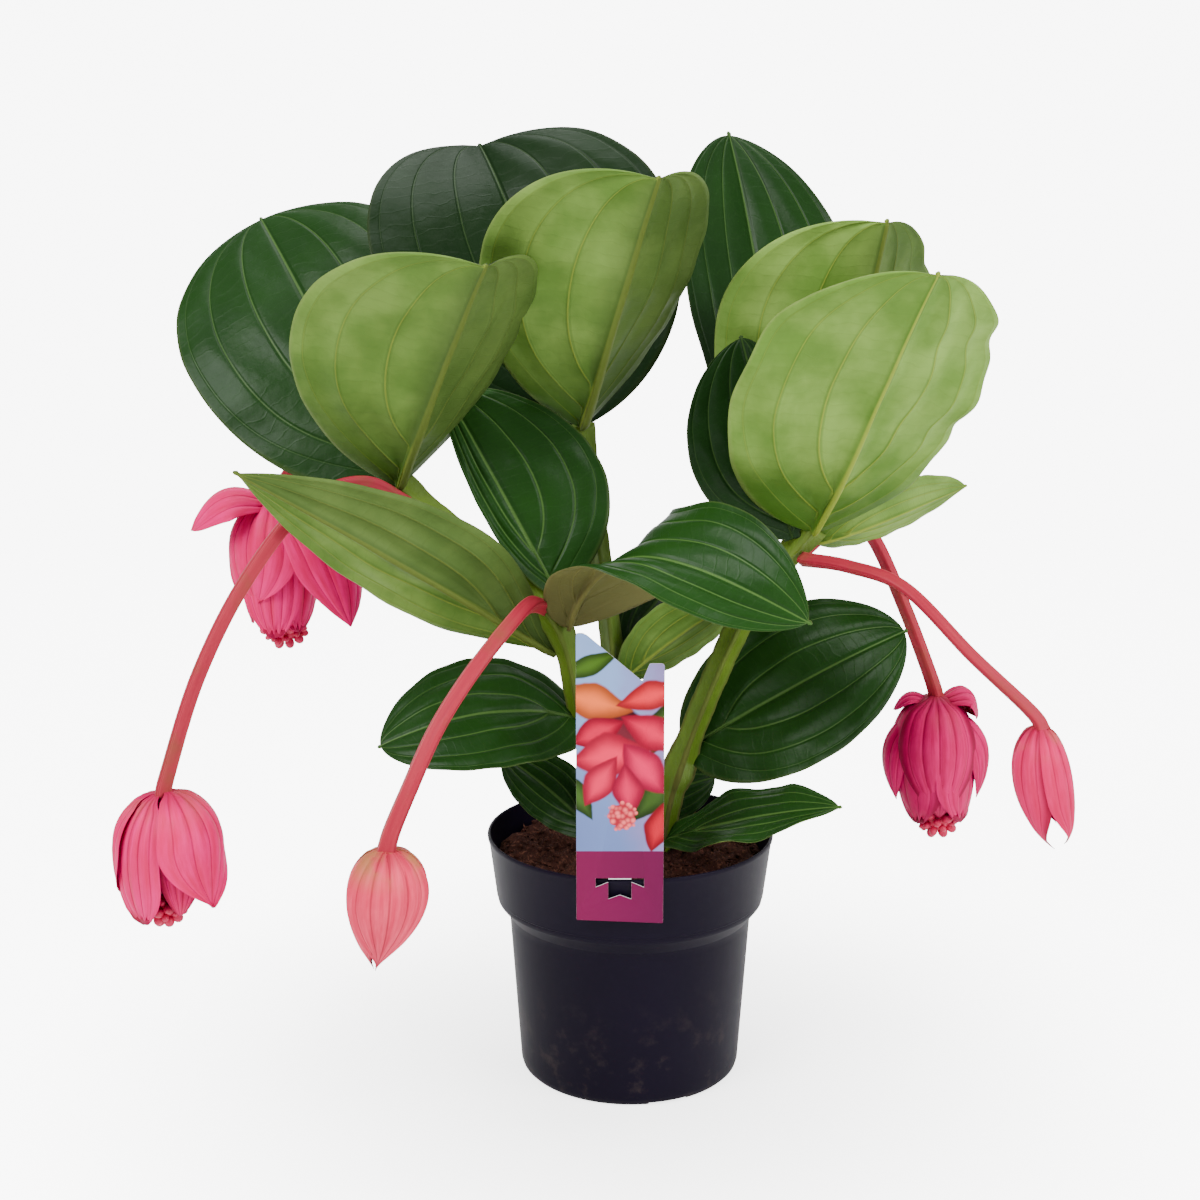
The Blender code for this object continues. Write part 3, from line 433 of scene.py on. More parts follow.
printed, tree, shader = new_material("label_print", 0.3, 0.1)
place = object_place(tree)
apart = split(tree, place)
sway = noise_of(tree, place, 45.0, 3.0)
colour = set_mix(tree, ramp(tree, apart["Z"], 0.17, 0.28), (0.13, 0.19, 0.42), (0.22, 0.34, 0.62))
lilac = ramp(tree, plus(tree, apart["X"], times(tree, sway, 0.03)), 0.002, 0.03)
colour = set_mix(tree, lilac, colour, (0.23, 0.19, 0.40))
# Soft leaves and petals out of focus: middle, half length, half width, turn and colour of each
MOTIFS = [
    ((-0.024, 0.270), 0.0190, 0.0060, 24, (0.045, 0.100, 0.010)),
    ((0.016, 0.236), 0.0180, 0.0085, 70, (0.035, 0.070, 0.010)),
    ((-0.030, 0.196), 0.0160, 0.0070, -60, (0.040, 0.090, 0.014)),
    ((0.012, 0.196), 0.0200, 0.0080, 50, (0.030, 0.065, 0.010)),
    ((-0.006, 0.228), 0.0200, 0.0200, 0, (0.10, 0.012, 0.020)),
    ((-0.022, 0.250), 0.0230, 0.0100, -14, (0.70, 0.130, 0.030)),
    ((0.010, 0.253), 0.0200, 0.0085, 16, (0.62, 0.022, 0.035)),
    ((0.011, 0.232), 0.0190, 0.0105, -28, (0.58, 0.006, 0.050)),
    ((-0.020, 0.232), 0.0160, 0.0085, 24, (0.50, 0.004, 0.040)),
    ((-0.013, 0.219), 0.0230, 0.0125, 8, (0.66, 0.012, 0.060)),
    ((0.006, 0.212), 0.0180, 0.0110, -52, (0.60, 0.006, 0.070)),
    ((-0.018, 0.204), 0.0170, 0.0090, 58, (0.62, 0.010, 0.060)),
    ((-0.003, 0.199), 0.0160, 0.0090, 96, (0.56, 0.004, 0.060)),
    ((0.014, 0.178), 0.0150, 0.0085, 75, (0.42, 0.006, 0.020)),
]
for (x, z), long, wide, turn, tint in MOTIFS:
    sockets = {"Vector": place, "Location": (x, 0, z), "Rotation": (0, math.radians(-turn), 0),
               "Scale": (long, 1e3, wide)}
    there = split(tree, add_node(tree, "Mapping", sockets, vector_type="TEXTURE").outputs[0])
    middle = maths(tree, "POWER", maths(tree, "ABSOLUTE", there["X"]), 1.5)
    reach = plus(tree, middle, maths(tree, "ABSOLUTE", there["Z"]))
    wavy = plus(tree, reach, times(tree, sway, 0.55))
    bright, dark = [tuple(c * share for c in tint) for share in (1.25, 0.4)]
    shaded = set_mix(tree, ramp(tree, wavy, 0.35, 1.25), bright, dark)
    colour = set_mix(tree, ramp(tree, wavy, 1.36, 1.18), colour, shaded)
seeds = add_node(tree, "TexVoronoi", {"Vector": place, "Scale": 330.0}, feature="F1").outputs["Distance"]
cluster = add_node(tree, "VectorMath", {0: place, 1: (-0.006, CARD_FRONT, 0.1845)}, operation="DISTANCE")
bunch = ramp(tree, plus(tree, cluster.outputs["Value"], times(tree, seeds, 0.004)), 0.0105, 0.0090)
bunch_colour = set_mix(tree, ramp(tree, seeds, 0.1, 0.75), (0.92, 0.15, 0.15), (0.36, 0.012, 0.03))
colour = set_mix(tree, bunch, colour, bunch_colour)
band_colour = set_mix(tree, ramp(tree, apart["X"], -0.031, 0.017, False), (0.165, 0.006, 0.055),
                      (0.115, 0.004, 0.045))
colour = set_mix(tree, ramp(tree, apart["Z"], 0.16435, 0.16415, False), colour, band_colour)
cover(tree, shader, colour, grain(tree, place, 1500.0, 2.0, 0.5, 0.05, 0.0002)["Normal"])

bare_card, tree, shader = new_material("label_bare_card", 0.6)
fibres = grain(tree, object_place(tree), 900.0, 4.0, 0.5, 0.1, 0.0002)
card_white = set_mix(tree, fibres["Value"], (0.60, 0.59, 0.60), (0.72, 0.71, 0.70))
cover(tree, shader, card_white, fibres["Normal"])
card.data.materials.clear()
for piece in (card, tongue):
    piece.data.materials.append(bare_card)
    piece.data.materials.append(printed)
    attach(piece, "root")
    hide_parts("plant_label")
for face in card.data.polygons:
    at_front = face.center.y < CARD_FRONT + 0.0001 and abs(face.normal.y) > 0.9
    face.material_index = 1 if at_front else 0


# Stems
# Three woody stems, square in section with four thin corky wings, green on the flats and brown on the wings.
# Each swells at its nodes, where leaves and flower stalks leave it.

# One side of the section, in half widths: a shallow hollow between two wings
STEM_SIDE = [(1.06, -0.62), (1.0, 0.0), (1.06, 0.62), (1.16, 0.90), (1.05, 1.05), (0.90, 1.16)]
STEM_SECTION = []
for turn in range(4):
    STEM_SECTION += STEM_SIDE
    STEM_SIDE = [(-y, x) for x, y in STEM_SIDE]
STEM_STEPS = 16
NODE_REACH, NODE_SWELLING = 0.4, 0.35
STEMS = {
    "stem_right": dict(half_width=5.16, nodes=(2, 5), route=[
        (18, 2, 112), (21, 1, 150), (29, 0, 185), (47, -2, 236), (69, -3, 284), (103, -8, 333)]),
    "stem_centre": dict(half_width=4.472, nodes=(4,), route=[
        (-4, 26, 112), (-7, 24, 170), (-9, 20, 235), (-18, 17, 310), (-30, 14, 388)]),
    "stem_left": dict(half_width=4.472, nodes=(3, 5), route=[
        (-16, -8, 112), (-20, -12, 170), (-30, -20, 225), (-44, -30, 283), (-86, -26, 322),
        (-132, -14, 358)]),
}


def smooth_route(points, steps):
    """Points along a Catmull-Rom curve through a few given points."""
    route = [Vector(p) for p in points]
    ends = [route[0] * 2 - route[1]] + route + [route[-1] * 2 - route[-2]]
    line = []
    for k in range(len(route) - 1):
        p0, p1, p2, p3 = ends[k:k + 4]
        for i in range(steps):
            t = i / steps
            line.append(0.5 * ((2 * p1) + (p2 - p0) * t + (2 * p0 - 5 * p1 + 4 * p2 - p3) * t * t
                               + (3 * p1 - p0 - 3 * p2 + p3) * t ** 3))
    line.append(route[-1].copy())
    return line


def add_uv(piece, places):
    """A UV map from one (u, v) for each vertex."""
    mesh = piece.data
    layer = mesh.uv_layers.new(name="UVMap")
    corners = np.empty(len(mesh.loops), np.int32)
    mesh.loops.foreach_get("vertex_index", corners)
    layer.data.foreach_set("uv", np.asarray(places, np.float32)[corners].ravel())


def add_value(piece, name, values):
    """A number for each vertex, which a material reads by its name."""
    store = piece.data.attributes.new(name, "FLOAT", "POINT")
    store.data.foreach_set("value", np.asarray(values, np.float32))


def attribute(tree, name):
    return add_node(tree, "Attribute", attribute_name=name).outputs["Fac"]


def swept(name, line, section, sizes, side_hint):
    """A closed tube in metres from a line, section and sizes in millimetres, with its UV along and around."""
    points, places = [], []
    side = Vector(side_hint)
    count = len(section)
    run = 0.0
    for i, point in enumerate(line):
        tangent = (line[min(i + 1, len(line) - 1)] - line[max(i - 1, 0)]).normalized()
        side = (side - tangent * side.dot(tangent)).normalized()
        deep = tangent.cross(side)
        run += (point - line[i - 1]).length if i else 0.0
        for k, (across, back) in enumerate(section):
            points.append((point + (side * across + deep * back) * sizes[i]) * 0.001)
            places.append((k / count, run * 0.001))
    faces = []
    for i in range(len(line) - 1):
        for k in range(count):
            a, b = i * count + k, i * count + (k + 1) % count
            faces.append((a, b, b + count, a + count))
    for ring, flip in ((0, True), (len(line) - 1, False)):
        middle = len(points)
        points.append(line[ring] * 0.001)
        places.append((0.5, places[ring * count][1]))
        for k in range(count):
            a, b = ring * count + k, ring * count + (k + 1) % count
            faces.append((b, a, middle) if flip else (a, b, middle))
    piece = add_mesh(name, points, faces)
    add_uv(piece, places)
    return piece


stem_bark, tree, shader = new_material("stem_bark", specular=0.25)
place = object_place(tree)
wing = attribute(tree, "wing")
bark = grain(tree, scaled(tree, place, (1, 1, 0.2)), 520.0, 4.0, 0.6, 0.6, 0.0008)
flesh = set_mix(tree, noise_of(tree, place, 55.0, 4.0), (0.048, 0.098, 0.007), (0.125, 0.200, 0.017))
cork = set_mix(tree, bark["Value"], (0.034, 0.020, 0.007), (0.110, 0.072, 0.028))
corky = ramp(tree, plus(tree, wing, times(tree, bark["Value"], 0.5)), 0.55, 1.05)
older = ramp(tree, split(tree, place)["Z"], 0.33, 0.13)
corky = times(tree, corky, plus(tree, times(tree, older, 0.6), 0.12))
cover(tree, shader, set_mix(tree, corky, flesh, cork), bark["Normal"], ramp(tree, corky, -1.2, 1.1))

wings = [min(1.0, max(0.0, (math.hypot(*corner) - 1.1) / 0.3)) for corner in STEM_SECTION]
for name, spec in STEMS.items():
    line = smooth_route(spec["route"], STEM_STEPS)
    sizes = []
    for i in range(len(line)):
        size = spec["half_width"] * (1 + 0.02 * math.sin(i * 0.9) + 0.015 * math.sin(i * 2.3))
        for node in spec["nodes"]:
            near = min(1, abs(i / STEM_STEPS - node) / NODE_REACH)
            size *= 1 + NODE_SWELLING * (1 - near * near) ** 2
        sizes.append(size)
    stem = swept(name + "_wood", line, STEM_SECTION, sizes, (1, -1, 0))
    add_value(stem, "wing", wings * len(line) + [0.6, 0.6])
    stem.data.materials.append(stem_bark)
    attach(stem, "root")
    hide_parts(name)


# Leaves
# Thick, leathery, stalkless leaves. A midrib and three pairs of long curved veins run from the base to the
# tip, sunk in the glossy dark upper side and raised on the pale underside, with faint rungs between them.

SMALL_LEAF = dict(widest=0.5, base_power=0.6, columns="few", quilt=0.0, rib=1.0, stub=3)
LEAVES = {
    "leaf_back_left": dict(
        base=(-134, -9.5, 358), tip=(-224, 98, 503), facing=(0.0, -0.87, 0.49), half_width=80, widest=0.58,
        base_power=0.55, tip_power=0.5, arch=(14, 28), fold=(4, 14), curl=(-10, -15)),
    "leaf_front_left": dict(
        base=(-132, -24, 358), tip=(-76, -112, 484), facing=(-0.12, 0.81, 0.59), half_width=82, widest=0.56,
        base_power=0.6, tip_power=0.5, arch=(0, 8), fold=(46, 6), curl=(0, 10), unfold=0.1,
        widths=(0.86, 1.0)),
    "leaf_back_centre": dict(
        base=(-28, 22, 386), tip=(-92, 126, 547), facing=(0.1, -0.8, 0.5), half_width=92, widest=0.56,
        base_power=0.55, tip_power=0.5, arch=(-4, 30), fold=(22, 18), curl=(-10, -10), unfold=0.0,
        widths=(1.06, 1.0)),
    "leaf_front_centre": dict(
        base=(-29, 8, 388), tip=(12, -76, 527), facing=(0.0, 0.83, 0.5), half_width=80, widest=0.58,
        base_power=0.55, tip_power=0.5, arch=(-8, 6), fold=(52, 6), curl=(0, 8), unfold=0.1,
        widths=(0.88, 1.0)),
    "leaf_back_right": dict(
        base=(103, 4, 328), tip=(62, 128, 553), facing=(0.1, -0.85, 0.5), half_width=62, widest=0.58,
        base_power=0.6, tip_power=0.75, arch=(-16, 12), fold=(36, 10), unfold=0.1, widths=(1.04, 0.9)),
    "leaf_right": dict(
        base=(111, -1, 334), tip=(135, -46, 504), facing=(0.0, 0.85, 0.4), half_width=80, widest=0.6,
        base_power=0.7, tip_power=0.5, arch=(14, 4), fold=(50, 5), curl=(0, 8), unfold=0.1,
        widths=(0.78, 1.0), crinkle=(0, 0.05, 4.0, 0.3)),
    "leaf_front_right": dict(
        base=(103, -16.5, 331), tip=(151, -116, 480), facing=(-0.15, 0.8, 0.6), half_width=76, widest=0.55,
        base_power=0.4, tip_power=0.5, arch=(-10, 4), fold=(10, 8), curl=(12, 8), wave=(3.0, 3.0, 0.0),
        widths=(0.88, 1.0), crinkle=(0, 0.028, 3.6, 0.1)),
    "leaf_right_dark": dict(
        base=(92, -14, 326), tip=(60, -26, 441), facing=(-0.1, -0.85, 0.5), half_width=46, widest=0.5,
        base_power=0.7, tip_power=0.6, arch=(2, 4), fold=(8, 10), widths=(1.0, 0.5)),
    "leaf_centre_dark": dict(
        base=(-42, -34, 298), tip=(-107, 3, 410), facing=(-0.1, -0.8, 0.6), half_width=58, widest=0.42,
        base_power=0.55, tip_power=0.75, arch=(4, 10), fold=(10, 5), curl=(0, -10), widths=(0.28, 1.0)),
    "leaf_left_long": dict(
        base=(-44, -24, 262), tip=(-203, -120, 380), facing=(-0.1, 0.75, 0.65), half_width=38, widest=0.38,
        base_power=1.2, tip_power=0.95, arch=(2, 4), fold=(34, 10)),
    "leaf_curled": dict(
        base=(-36, -36, 280), tip=(90, -120, 302), facing=(0.1, -0.5, 0.85), half_width=41, widest=0.55,
        base_power=0.38, tip_power=0.7, arch=(78, 38), fold=(10, 10), twist=110, widths=(1.05, 0.75),
        shoulder=(0, 2.4)),
    "leaf_lower_left": dict(
        base=(-27, -18, 220), tip=(-141, -60, 217), facing=(0.0, -0.6, 0.8), half_width=40, widest=0.5,
        base_power=0.5, tip_power=0.6, arch=(24, 24), curl=(-10, -10)),
    "leaf_lower_right": dict(
        base=(32, 6, 195), tip=(157, -18, 273), facing=(0.1, -0.75, 0.7), half_width=50, widest=0.5,
        base_power=0.5, tip_power=0.6, arch=(4, 10), fold=(8, 10), curl=(-10, -10)),
    "leaf_low_right": dict(
        base=(20, -4, 142), tip=(114, -80, 188), facing=(0.0, -0.6, 0.8), half_width=22, widest=0.5,
        base_power=0.5, tip_power=0.8, arch=(5, 7), fold=(5, 15), wave=(3.0, 2.5, 0.1), quilt=0.6, rib=1.0,
        stub=4),
    "leaf_low_left": dict(
        SMALL_LEAF, base=(-20, -12, 148), tip=(-76, 10, 190), facing=(0.1, -0.7, 0.7), half_width=21,
        tip_power=0.7, arch=(6, 8)),
    "leaf_low_back": dict(
        SMALL_LEAF, base=(-5, 24, 150), tip=(52, 30, 170), facing=(0.1, -0.8, 0.6), half_width=20,
        tip_power=0.7, arch=(6, 8)),
    "leaf_inner_pale": dict(
        SMALL_LEAF, base=(-6, 16, 236), tip=(64, 14, 286), facing=(0.1, 0.7, 0.65), half_width=26,
        tip_power=0.7, arch=(4, 6)),
    "leaf_inner_dark": dict(
        SMALL_LEAF, base=(-9, 24, 248), tip=(34, 76, 290), facing=(0.1, -0.7, 0.6), half_width=20,
        tip_power=0.7, arch=(6, 8)),
    "leaf_right_tip": dict(
        SMALL_LEAF, base=(106, -3, 323), tip=(195, 18, 352), facing=(0.1, 0.6, 0.75), half_width=32,
        tip_power=0.8, arch=(-4, 0)),
}
PALE_LEAVES = ("leaf_front_left", "leaf_front_centre", "leaf_right", "leaf_front_right", "leaf_left_long",
               "leaf_inner_pale", "leaf_right_tip")
TONES = {"leaf_right_dark": 0.5, "leaf_back_centre": 0.3, "leaf_back_left": 0.75, "leaf_low_back": 0.5,
         "leaf_inner_dark": 0.45, "leaf_low_left": 0.6, "leaf_front_left": 0.70, "leaf_front_centre": 0.78,
         "leaf_left_long": 0.74, "leaf_inner_pale": 0.7, "leaf_back_right": 0.65, "leaf_lower_left": 0.85,
         "leaf_lower_right": 0.9}
LEAF_THICKNESS = 0.9
MIDRIB_HEIGHT = 2.2
# Place across the half blade, place along the midrib where it branches off, height and half width in mm
VEINS = [(0.0, 0.0, 0.9, 1.7), (0.37, 0.20, 0.5, 0.95), (0.70, 0.09, 0.35, 0.75), (0.92, 0.02, 0.08, 0.45)]


def half_outline(t, widest, base_power, tip_power):
    """Share of the half width along the midrib, 0 at both ends and 1 at the widest place."""
    low = (1 - (1 - np.minimum(t, widest) / widest) ** 2) ** base_power
    high = np.maximum(1 - (np.maximum(t - widest, 0) / (1 - widest)) ** 2, 0) ** tip_power
    return np.where(t < widest, low, high)


def bezier(points, t):
    a, b, c, d = [np.array(p) for p in points]
    s = 1 - t
    return a * s ** 3 + b * (3 * s * s * t) + c * (3 * s * t * t) + d * t ** 3


def bezier_slope(points, t):
    a, b, c, d = [np.array(p) for p in points]
    s = 1 - t
    return unit((b - a) * (3 * s * s) + (c - b) * (6 * s * t) + (d - c) * (3 * t * t))


def unit(vectors):
    return vectors / np.maximum(np.linalg.norm(vectors, axis=-1, keepdims=True), 1e-12)


def turned_about(vectors, axes, angles):
    """Each vector turned about its own axis, which is at right angles to it."""
    return vectors * np.cos(angles) + np.cross(axes, vectors) * np.sin(angles)


def blade_grid(spec, t, s, vein_places):
    """Points of a blade's upper side for places t along and s across, in millimetres, and its outline."""
    base, tip = np.array(spec["base"], float), np.array(spec["tip"], float)
    length = np.linalg.norm(tip - base)
    ahead = (tip - base) / length
    facing = np.array(spec["facing"], float)
    facing = unit(facing - ahead * facing.dot(ahead))
    near, far = spec["arch"]
    controls = [base, base + ahead * length / 3 + facing * near,
                base + ahead * length * 2 / 3 + facing * far, tip]
    rows = t[:, None]
    spine, tangent = bezier(controls, rows), bezier_slope(controls, rows)
    up = unit(facing - tangent * (tangent @ facing)[:, None])
    up = turned_about(up, tangent, np.radians(spec.get("twist", 0.0) * (rows - 0.5)))
    out = np.cross(tangent, up)
    share = half_outline(t, spec["widest"], spec["base_power"], spec["tip_power"])
    stub = spec.get("stub", 5.0) * (1 - t) + 0.8 * t
    wave, waves, phase = spec.get("wave", (0.0, 1.0, 0.0))
    fold, curl = spec.get("fold", (8.0, 8.0)), spec.get("curl", (0.0, 0.0))
    widths = spec.get("widths", (1.0, 1.0))
    x, z = np.zeros((2, len(t), len(s)))
    u = blade_across(t, s, vein_places)
    for side, chosen in ((0, s < 0), (1, s >= 0)):
        reach = np.maximum(spec["half_width"] * widths[side] * share, stub)
        reach = np.where(t > 1, 1.7 * np.clip(1 - (t - 1) / 0.014, 0, 1) + 0.2, reach)[:, None]
        if spec.get("crinkle", (2,))[0] == side:
            amount, waves_on, begin = spec["crinkle"][1:]
            uneven = np.sin(2 * math.pi * (waves_on * rows + begin))
            uneven = uneven + 0.6 * np.sin(11 * waves_on * rows + begin)
            reach = reach * (1 + amount * uneven * np.clip(5 - 5 * rows, 0, 1))
        if spec.get("shoulder", (2,))[0] == side:
            reach = reach * (1 + spec["shoulder"][1] * np.exp(-((rows - 0.16) / 0.15) ** 2))
        start = np.radians(fold[side] * (1 - spec.get("unfold", 0.5) * rows))
        bend = math.radians(curl[side] or 0.5)
        end = start + bend * np.abs(u[:, chosen])
        x[:, chosen] = reach * (np.sin(end) - np.sin(start)) / bend * (-1 if side == 0 else 1)
        z[:, chosen] = reach * (np.cos(start) - np.cos(end)) / bend
    sway = np.sin(2 * math.pi * (waves * rows + phase) + np.where(u < 0, 1.3, 0.0))
    z += wave * share[:, None] * u * u * sway
    return spine[:, None] + out[:, None] * x[..., None] + up[:, None] * z[..., None], share


def blade_across(t, s, vein_places):
    """Where a column lies across the blade: near the base the veins draw in to the midrib."""
    known = [0.0] + [v[0] for v in vein_places[1:]] + [1.0]
    across = np.zeros((len(t), len(s)))
    for i, place in enumerate(t):
        moved = [0.0]
        for vein, start, _, _ in vein_places[1:]:
            moved.append(vein * (0.10 + 0.90 * (1 - math.exp(-max(place - start, 0.0) / 0.11))))
        across[i] = np.sign(s) * np.interp(np.abs(s), known, moved + [1.0])
    return across


def relief(s, span, t, vein_places):
    """Height of the veins and of the quilting between them, in millimetres."""
    ridge = np.zeros_like(span)
    for place, start, height, wide in vein_places:
        taper = np.clip(1.25 - 0.9 * t[:, None], 0.25, 1.2)
        taper = taper * np.clip((t[:, None] - start + 0.02) / 0.05, 0.0, 1.0)
        off = np.abs(np.abs(s)[None, :] - place) * span
        ridge = np.maximum(ridge, height * taper * np.exp(-(off / wide) ** 2))
    stops = [v[0] for v in vein_places] + [1.18]
    swell = np.zeros_like(s)
    for a, b in zip(stops, stops[1:]):
        inside = (np.abs(s) >= a) & (np.abs(s) < b)
        swell[inside] = np.sin(math.pi * (np.abs(s[inside]) - a) / (b - a)) ** 0.9
    return ridge, swell


def leaf_columns(fine):
    """Places across a leaf, close together at the veins."""
    stops = [v[0] for v in VEINS] + [1.0]
    near = (0.008, 0.02, 0.04, 0.075) if fine else (0.02, 0.06)
    half = [0.0]
    for a, b in zip(stops, stops[1:]):
        inner = [a + d for d in near] + [b - d for d in reversed(near)]
        if fine and b - a > 0.2:
            inner += [a + (b - a) * 0.42, a + (b - a) * 0.58]
        if b == 1.0:
            inner = [a + d for d in near[:3]] + [0.955, 0.985]
        half += sorted(inner) + [b]
    return np.array([-u for u in reversed(half[1:])] + half)


def shell_faces(rows, count, flip=False):
    """Faces of a closed shell: a layer of rows and columns, the layer under it, and the rim between."""
    total = rows * count
    faces = []
    for i in range(rows - 1):
        for a in range(i * count, (i + 1) * count - 1):
            b, c, d = a + 1, a + count + 1, a + count
            if flip:
                b, d = d, b
            faces += [(a, b, c, d), (total + a, total + d, total + c, total + b)]
    rim = list(range(count)) + [i * count + count - 1 for i in range(1, rows)]
    rim += list(range(total - 2, total - count - 1, -1)) + [i * count for i in range(rows - 2, 0, -1)]
    for a, b in zip(rim, rim[1:] + rim[:1]):
        if not flip:
            a, b = b, a
        faces.append((a, b, total + b, total + a))
    return faces


def shell_places(t, s):
    """The (u, v) places of both layers of a shell: u across, v along."""
    places = np.stack(np.broadcast_arrays(s[None, :] * 0.5 + 0.5, t[:, None]), -1).reshape(-1, 2)
    return np.concatenate([places, places])


def add_blade(name, spec, t, s, rib, quilt, rungs, swelling):
    """A closed blade with relief on both sides, its margin rolled, and what its material needs to know."""
    flat, share = blade_grid(spec, t, s, VEINS)
    spread = np.gradient(flat, s, axis=1)
    span = np.linalg.norm(spread, axis=2)
    normal = unit(np.cross(spread, np.gradient(flat, t, axis=0)))
    ridge, swell = relief(s, span, t, VEINS)
    along, across, rows, wide = t[:, None], s[None, :], share[:, None], np.abs(s)[None, :]
    rung = np.sin(2 * math.pi * (along * rungs + 1.7 * wide + 0.25 * np.sin(9 * along + 5 * across)))
    lift = swelling * quilt * rows * swell[None, :] + 0.05 * rungs / 24 * rows * swell[None, :] * rung
    lift += 0.5 * rows * wide ** 4 * np.sin(2 * math.pi * (along * 5.5 + (across > 0) * 0.37))
    first, second = spec["tip"][0] * 0.013, spec["tip"][2] * 0.021
    dents = np.sin(2 * math.pi * (1.6 * along + 0.9 * across + first))
    dents = dents * np.sin(2 * math.pi * (1.3 * across - 0.7 * along + second))
    small_dents = np.sin(2 * math.pi * (4.2 * along + 1.1 * across + second)) * np.sin(9 * across + first)
    dents += 0.35 * small_dents
    lift += (0.5 + swelling) * quilt * rows * dents * np.clip(4 * wide * (1 - wide) + 0.2, 0, 1)
    upper = flat + normal * (lift - 0.45 * ridge)[..., None]
    heavy = np.exp(-(wide * span / 2.6) ** 2) * rib * (1.25 - 1.0 * along)
    slim = np.clip((1 - wide) * span / 1.6, 0.0, 1.0)
    under = flat + normal * (lift - LEAF_THICKNESS * (0.25 + 0.75 * slim) - 1.6 * ridge - heavy)[..., None]
    points = np.concatenate([upper.reshape(-1, 3), under.reshape(-1, 3)]) * 0.001
    piece = add_mesh(name, points, shell_faces(len(t), len(s)))
    add_uv(piece, shell_places(t, s))
    add_value(piece, "span", np.tile(span.ravel(), 2))
    add_value(piece, "underside", np.repeat([0.0, 1.0], len(t) * len(s)))
    return piece


# Vein line: a soft line of a given half width in mm, at one place across, from where it leaves the midrib
VEIN_SOCKETS = ("Across", "Along", "Span", "Place", "Start", "Half Width")
vein_group, inner, outer = new_group("vein_line", VEIN_SOCKETS, ("Mask",))
off = maths(vein_group, "ABSOLUTE", maths(vein_group, "SUBTRACT", inner["Across"], inner["Place"]))
taper = maths(vein_group, "SUBTRACT", 1.1, times(vein_group, inner["Along"], 0.75))
off = maths(vein_group, "DIVIDE", times(vein_group, off, inner["Span"]),
            times(vein_group, taper, inner["Half Width"]))
grown = ramp(vein_group, maths(vein_group, "SUBTRACT", inner["Along"], inner["Start"]), -0.05, 0.04)
vein_group.links.new(times(vein_group, ramp(vein_group, off, 1.0, 0.3), grown), outer["Mask"])


def blade_places(tree):
    """Place across from the midrib, place along it, and the width in mm from the midrib to the margin."""
    apart = split(tree, add_node(tree, "UVMap").outputs[0])
    across = maths(tree, "ABSOLUTE", maths(tree, "SUBTRACT", times(tree, apart["X"], 2.0), 1.0))
    return across, apart["Y"], attribute(tree, "span")


def vein_lines(tree, places, veins, widen):
    """The strongest of the vein lines of a blade, the low veins fainter."""
    lines = None
    for place, start, height, wide in veins:
        sockets = dict(zip(VEIN_SOCKETS, (*places, place, start, wide * widen)))
        mask = add_node(tree, "Group", sockets, node_tree=vein_group).outputs["Mask"]
        mask = times(tree, mask, min(1.0, 0.35 + height))
        lines = mask if lines is None else maths(tree, "MAXIMUM", lines, mask)
    return lines


leaf_skin, tree, shader = new_material("leaf_skin", 0.4, 0.09)
place = object_place(tree)
places = blade_places(tree)
across, along, span = places
underside = attribute(tree, "underside")
tone_and_painted_shade = attribute(tree, "tone_and_painted_shade")
lines = vein_lines(tree, places, VEINS, 1.0)
# Painted shadow: a wider band round each vein, darkened on the underside beside the raised veins; it also
# lowers the bump there
painted_vein_shadow_and_dip = vein_lines(tree, places, VEINS, 3.0)
steps = plus(tree, times(tree, along, 24.0), times(tree, across, 1.7))
steps = maths(tree, "FRACT", plus(tree, steps, times(tree, noise_of(tree, place, 60.0, 2.0), 1.6)))
rung = ramp(tree, maths(tree, "ABSOLUTE", maths(tree, "SUBTRACT", steps, 0.5)), 0.09, 0.0)
cloud = noise_of(tree, place, 22.0, 4.0, 0.55)
fine = noise_of(tree, place, 160.0, 4.0, 0.6)
margin = ramp(tree, across, 0.975, 0.998)

upper = set_mix(tree, cloud, (0.0048, 0.0250, 0.0028), (0.0135, 0.0540, 0.0062))
upper = layered(tree, upper,
                (fine, 0.3, (0.0130, 0.0400, 0.0110)),
                (rung, 0.06, (0.040, 0.090, 0.025)),
                (lines, 0.5, (0.100, 0.190, 0.045)),
                (margin, 0.4, (0.085, 0.125, 0.035)))
# The leaf's own tone, with the painted shade of its folded half, darkens the colour of both sides
upper = set_mix(tree, tone_and_painted_shade, (0.0020, 0.0060, 0.0022), upper)
# Painted shade: the underside is darkened towards the base of the blade, with an uneven edge
foot = ramp(tree, plus(tree, along, times(tree, cloud, 0.2)), 0.55, 0.10)
lower = set_mix(tree, ramp(tree, cloud, 0.34, 0.64), (0.096, 0.200, 0.026), (0.215, 0.355, 0.068))
lower = layered(tree, lower,
                (fine, 0.35, (0.150, 0.255, 0.046)),
                (rung, 0.12, (0.075, 0.150, 0.020)),
                (foot, 0.85, (0.030, 0.088, 0.006)),
                (painted_vein_shadow_and_dip, 0.5, (0.048, 0.110, 0.010)),
                (lines, 0.75, (0.270, 0.330, 0.040)),
                (margin, 0.4, (0.210, 0.260, 0.075)))
lower = set_mix(tree, tone_and_painted_shade, (0.034, 0.056, 0.014), lower)
lower = set_mix(tree, attribute(tree, "brown"), lower, (0.115, 0.098, 0.036))
gloss = plus(tree, plus(tree, times(tree, fine, 0.14), 0.26), times(tree, underside, 0.20))
dimple = maths(tree, "SUBTRACT", noise_of(tree, place, 75.0, 2.0), painted_vein_shadow_and_dip)
skin = plus(tree, times(tree, rung, 0.15), times(tree, fine, 0.6))
skin = plus(tree, skin, times(tree, dimple, 1.2))
cover(tree, shader, set_mix(tree, underside, upper, lower), bumped(tree, skin, 0.35, 0.0009), gloss)

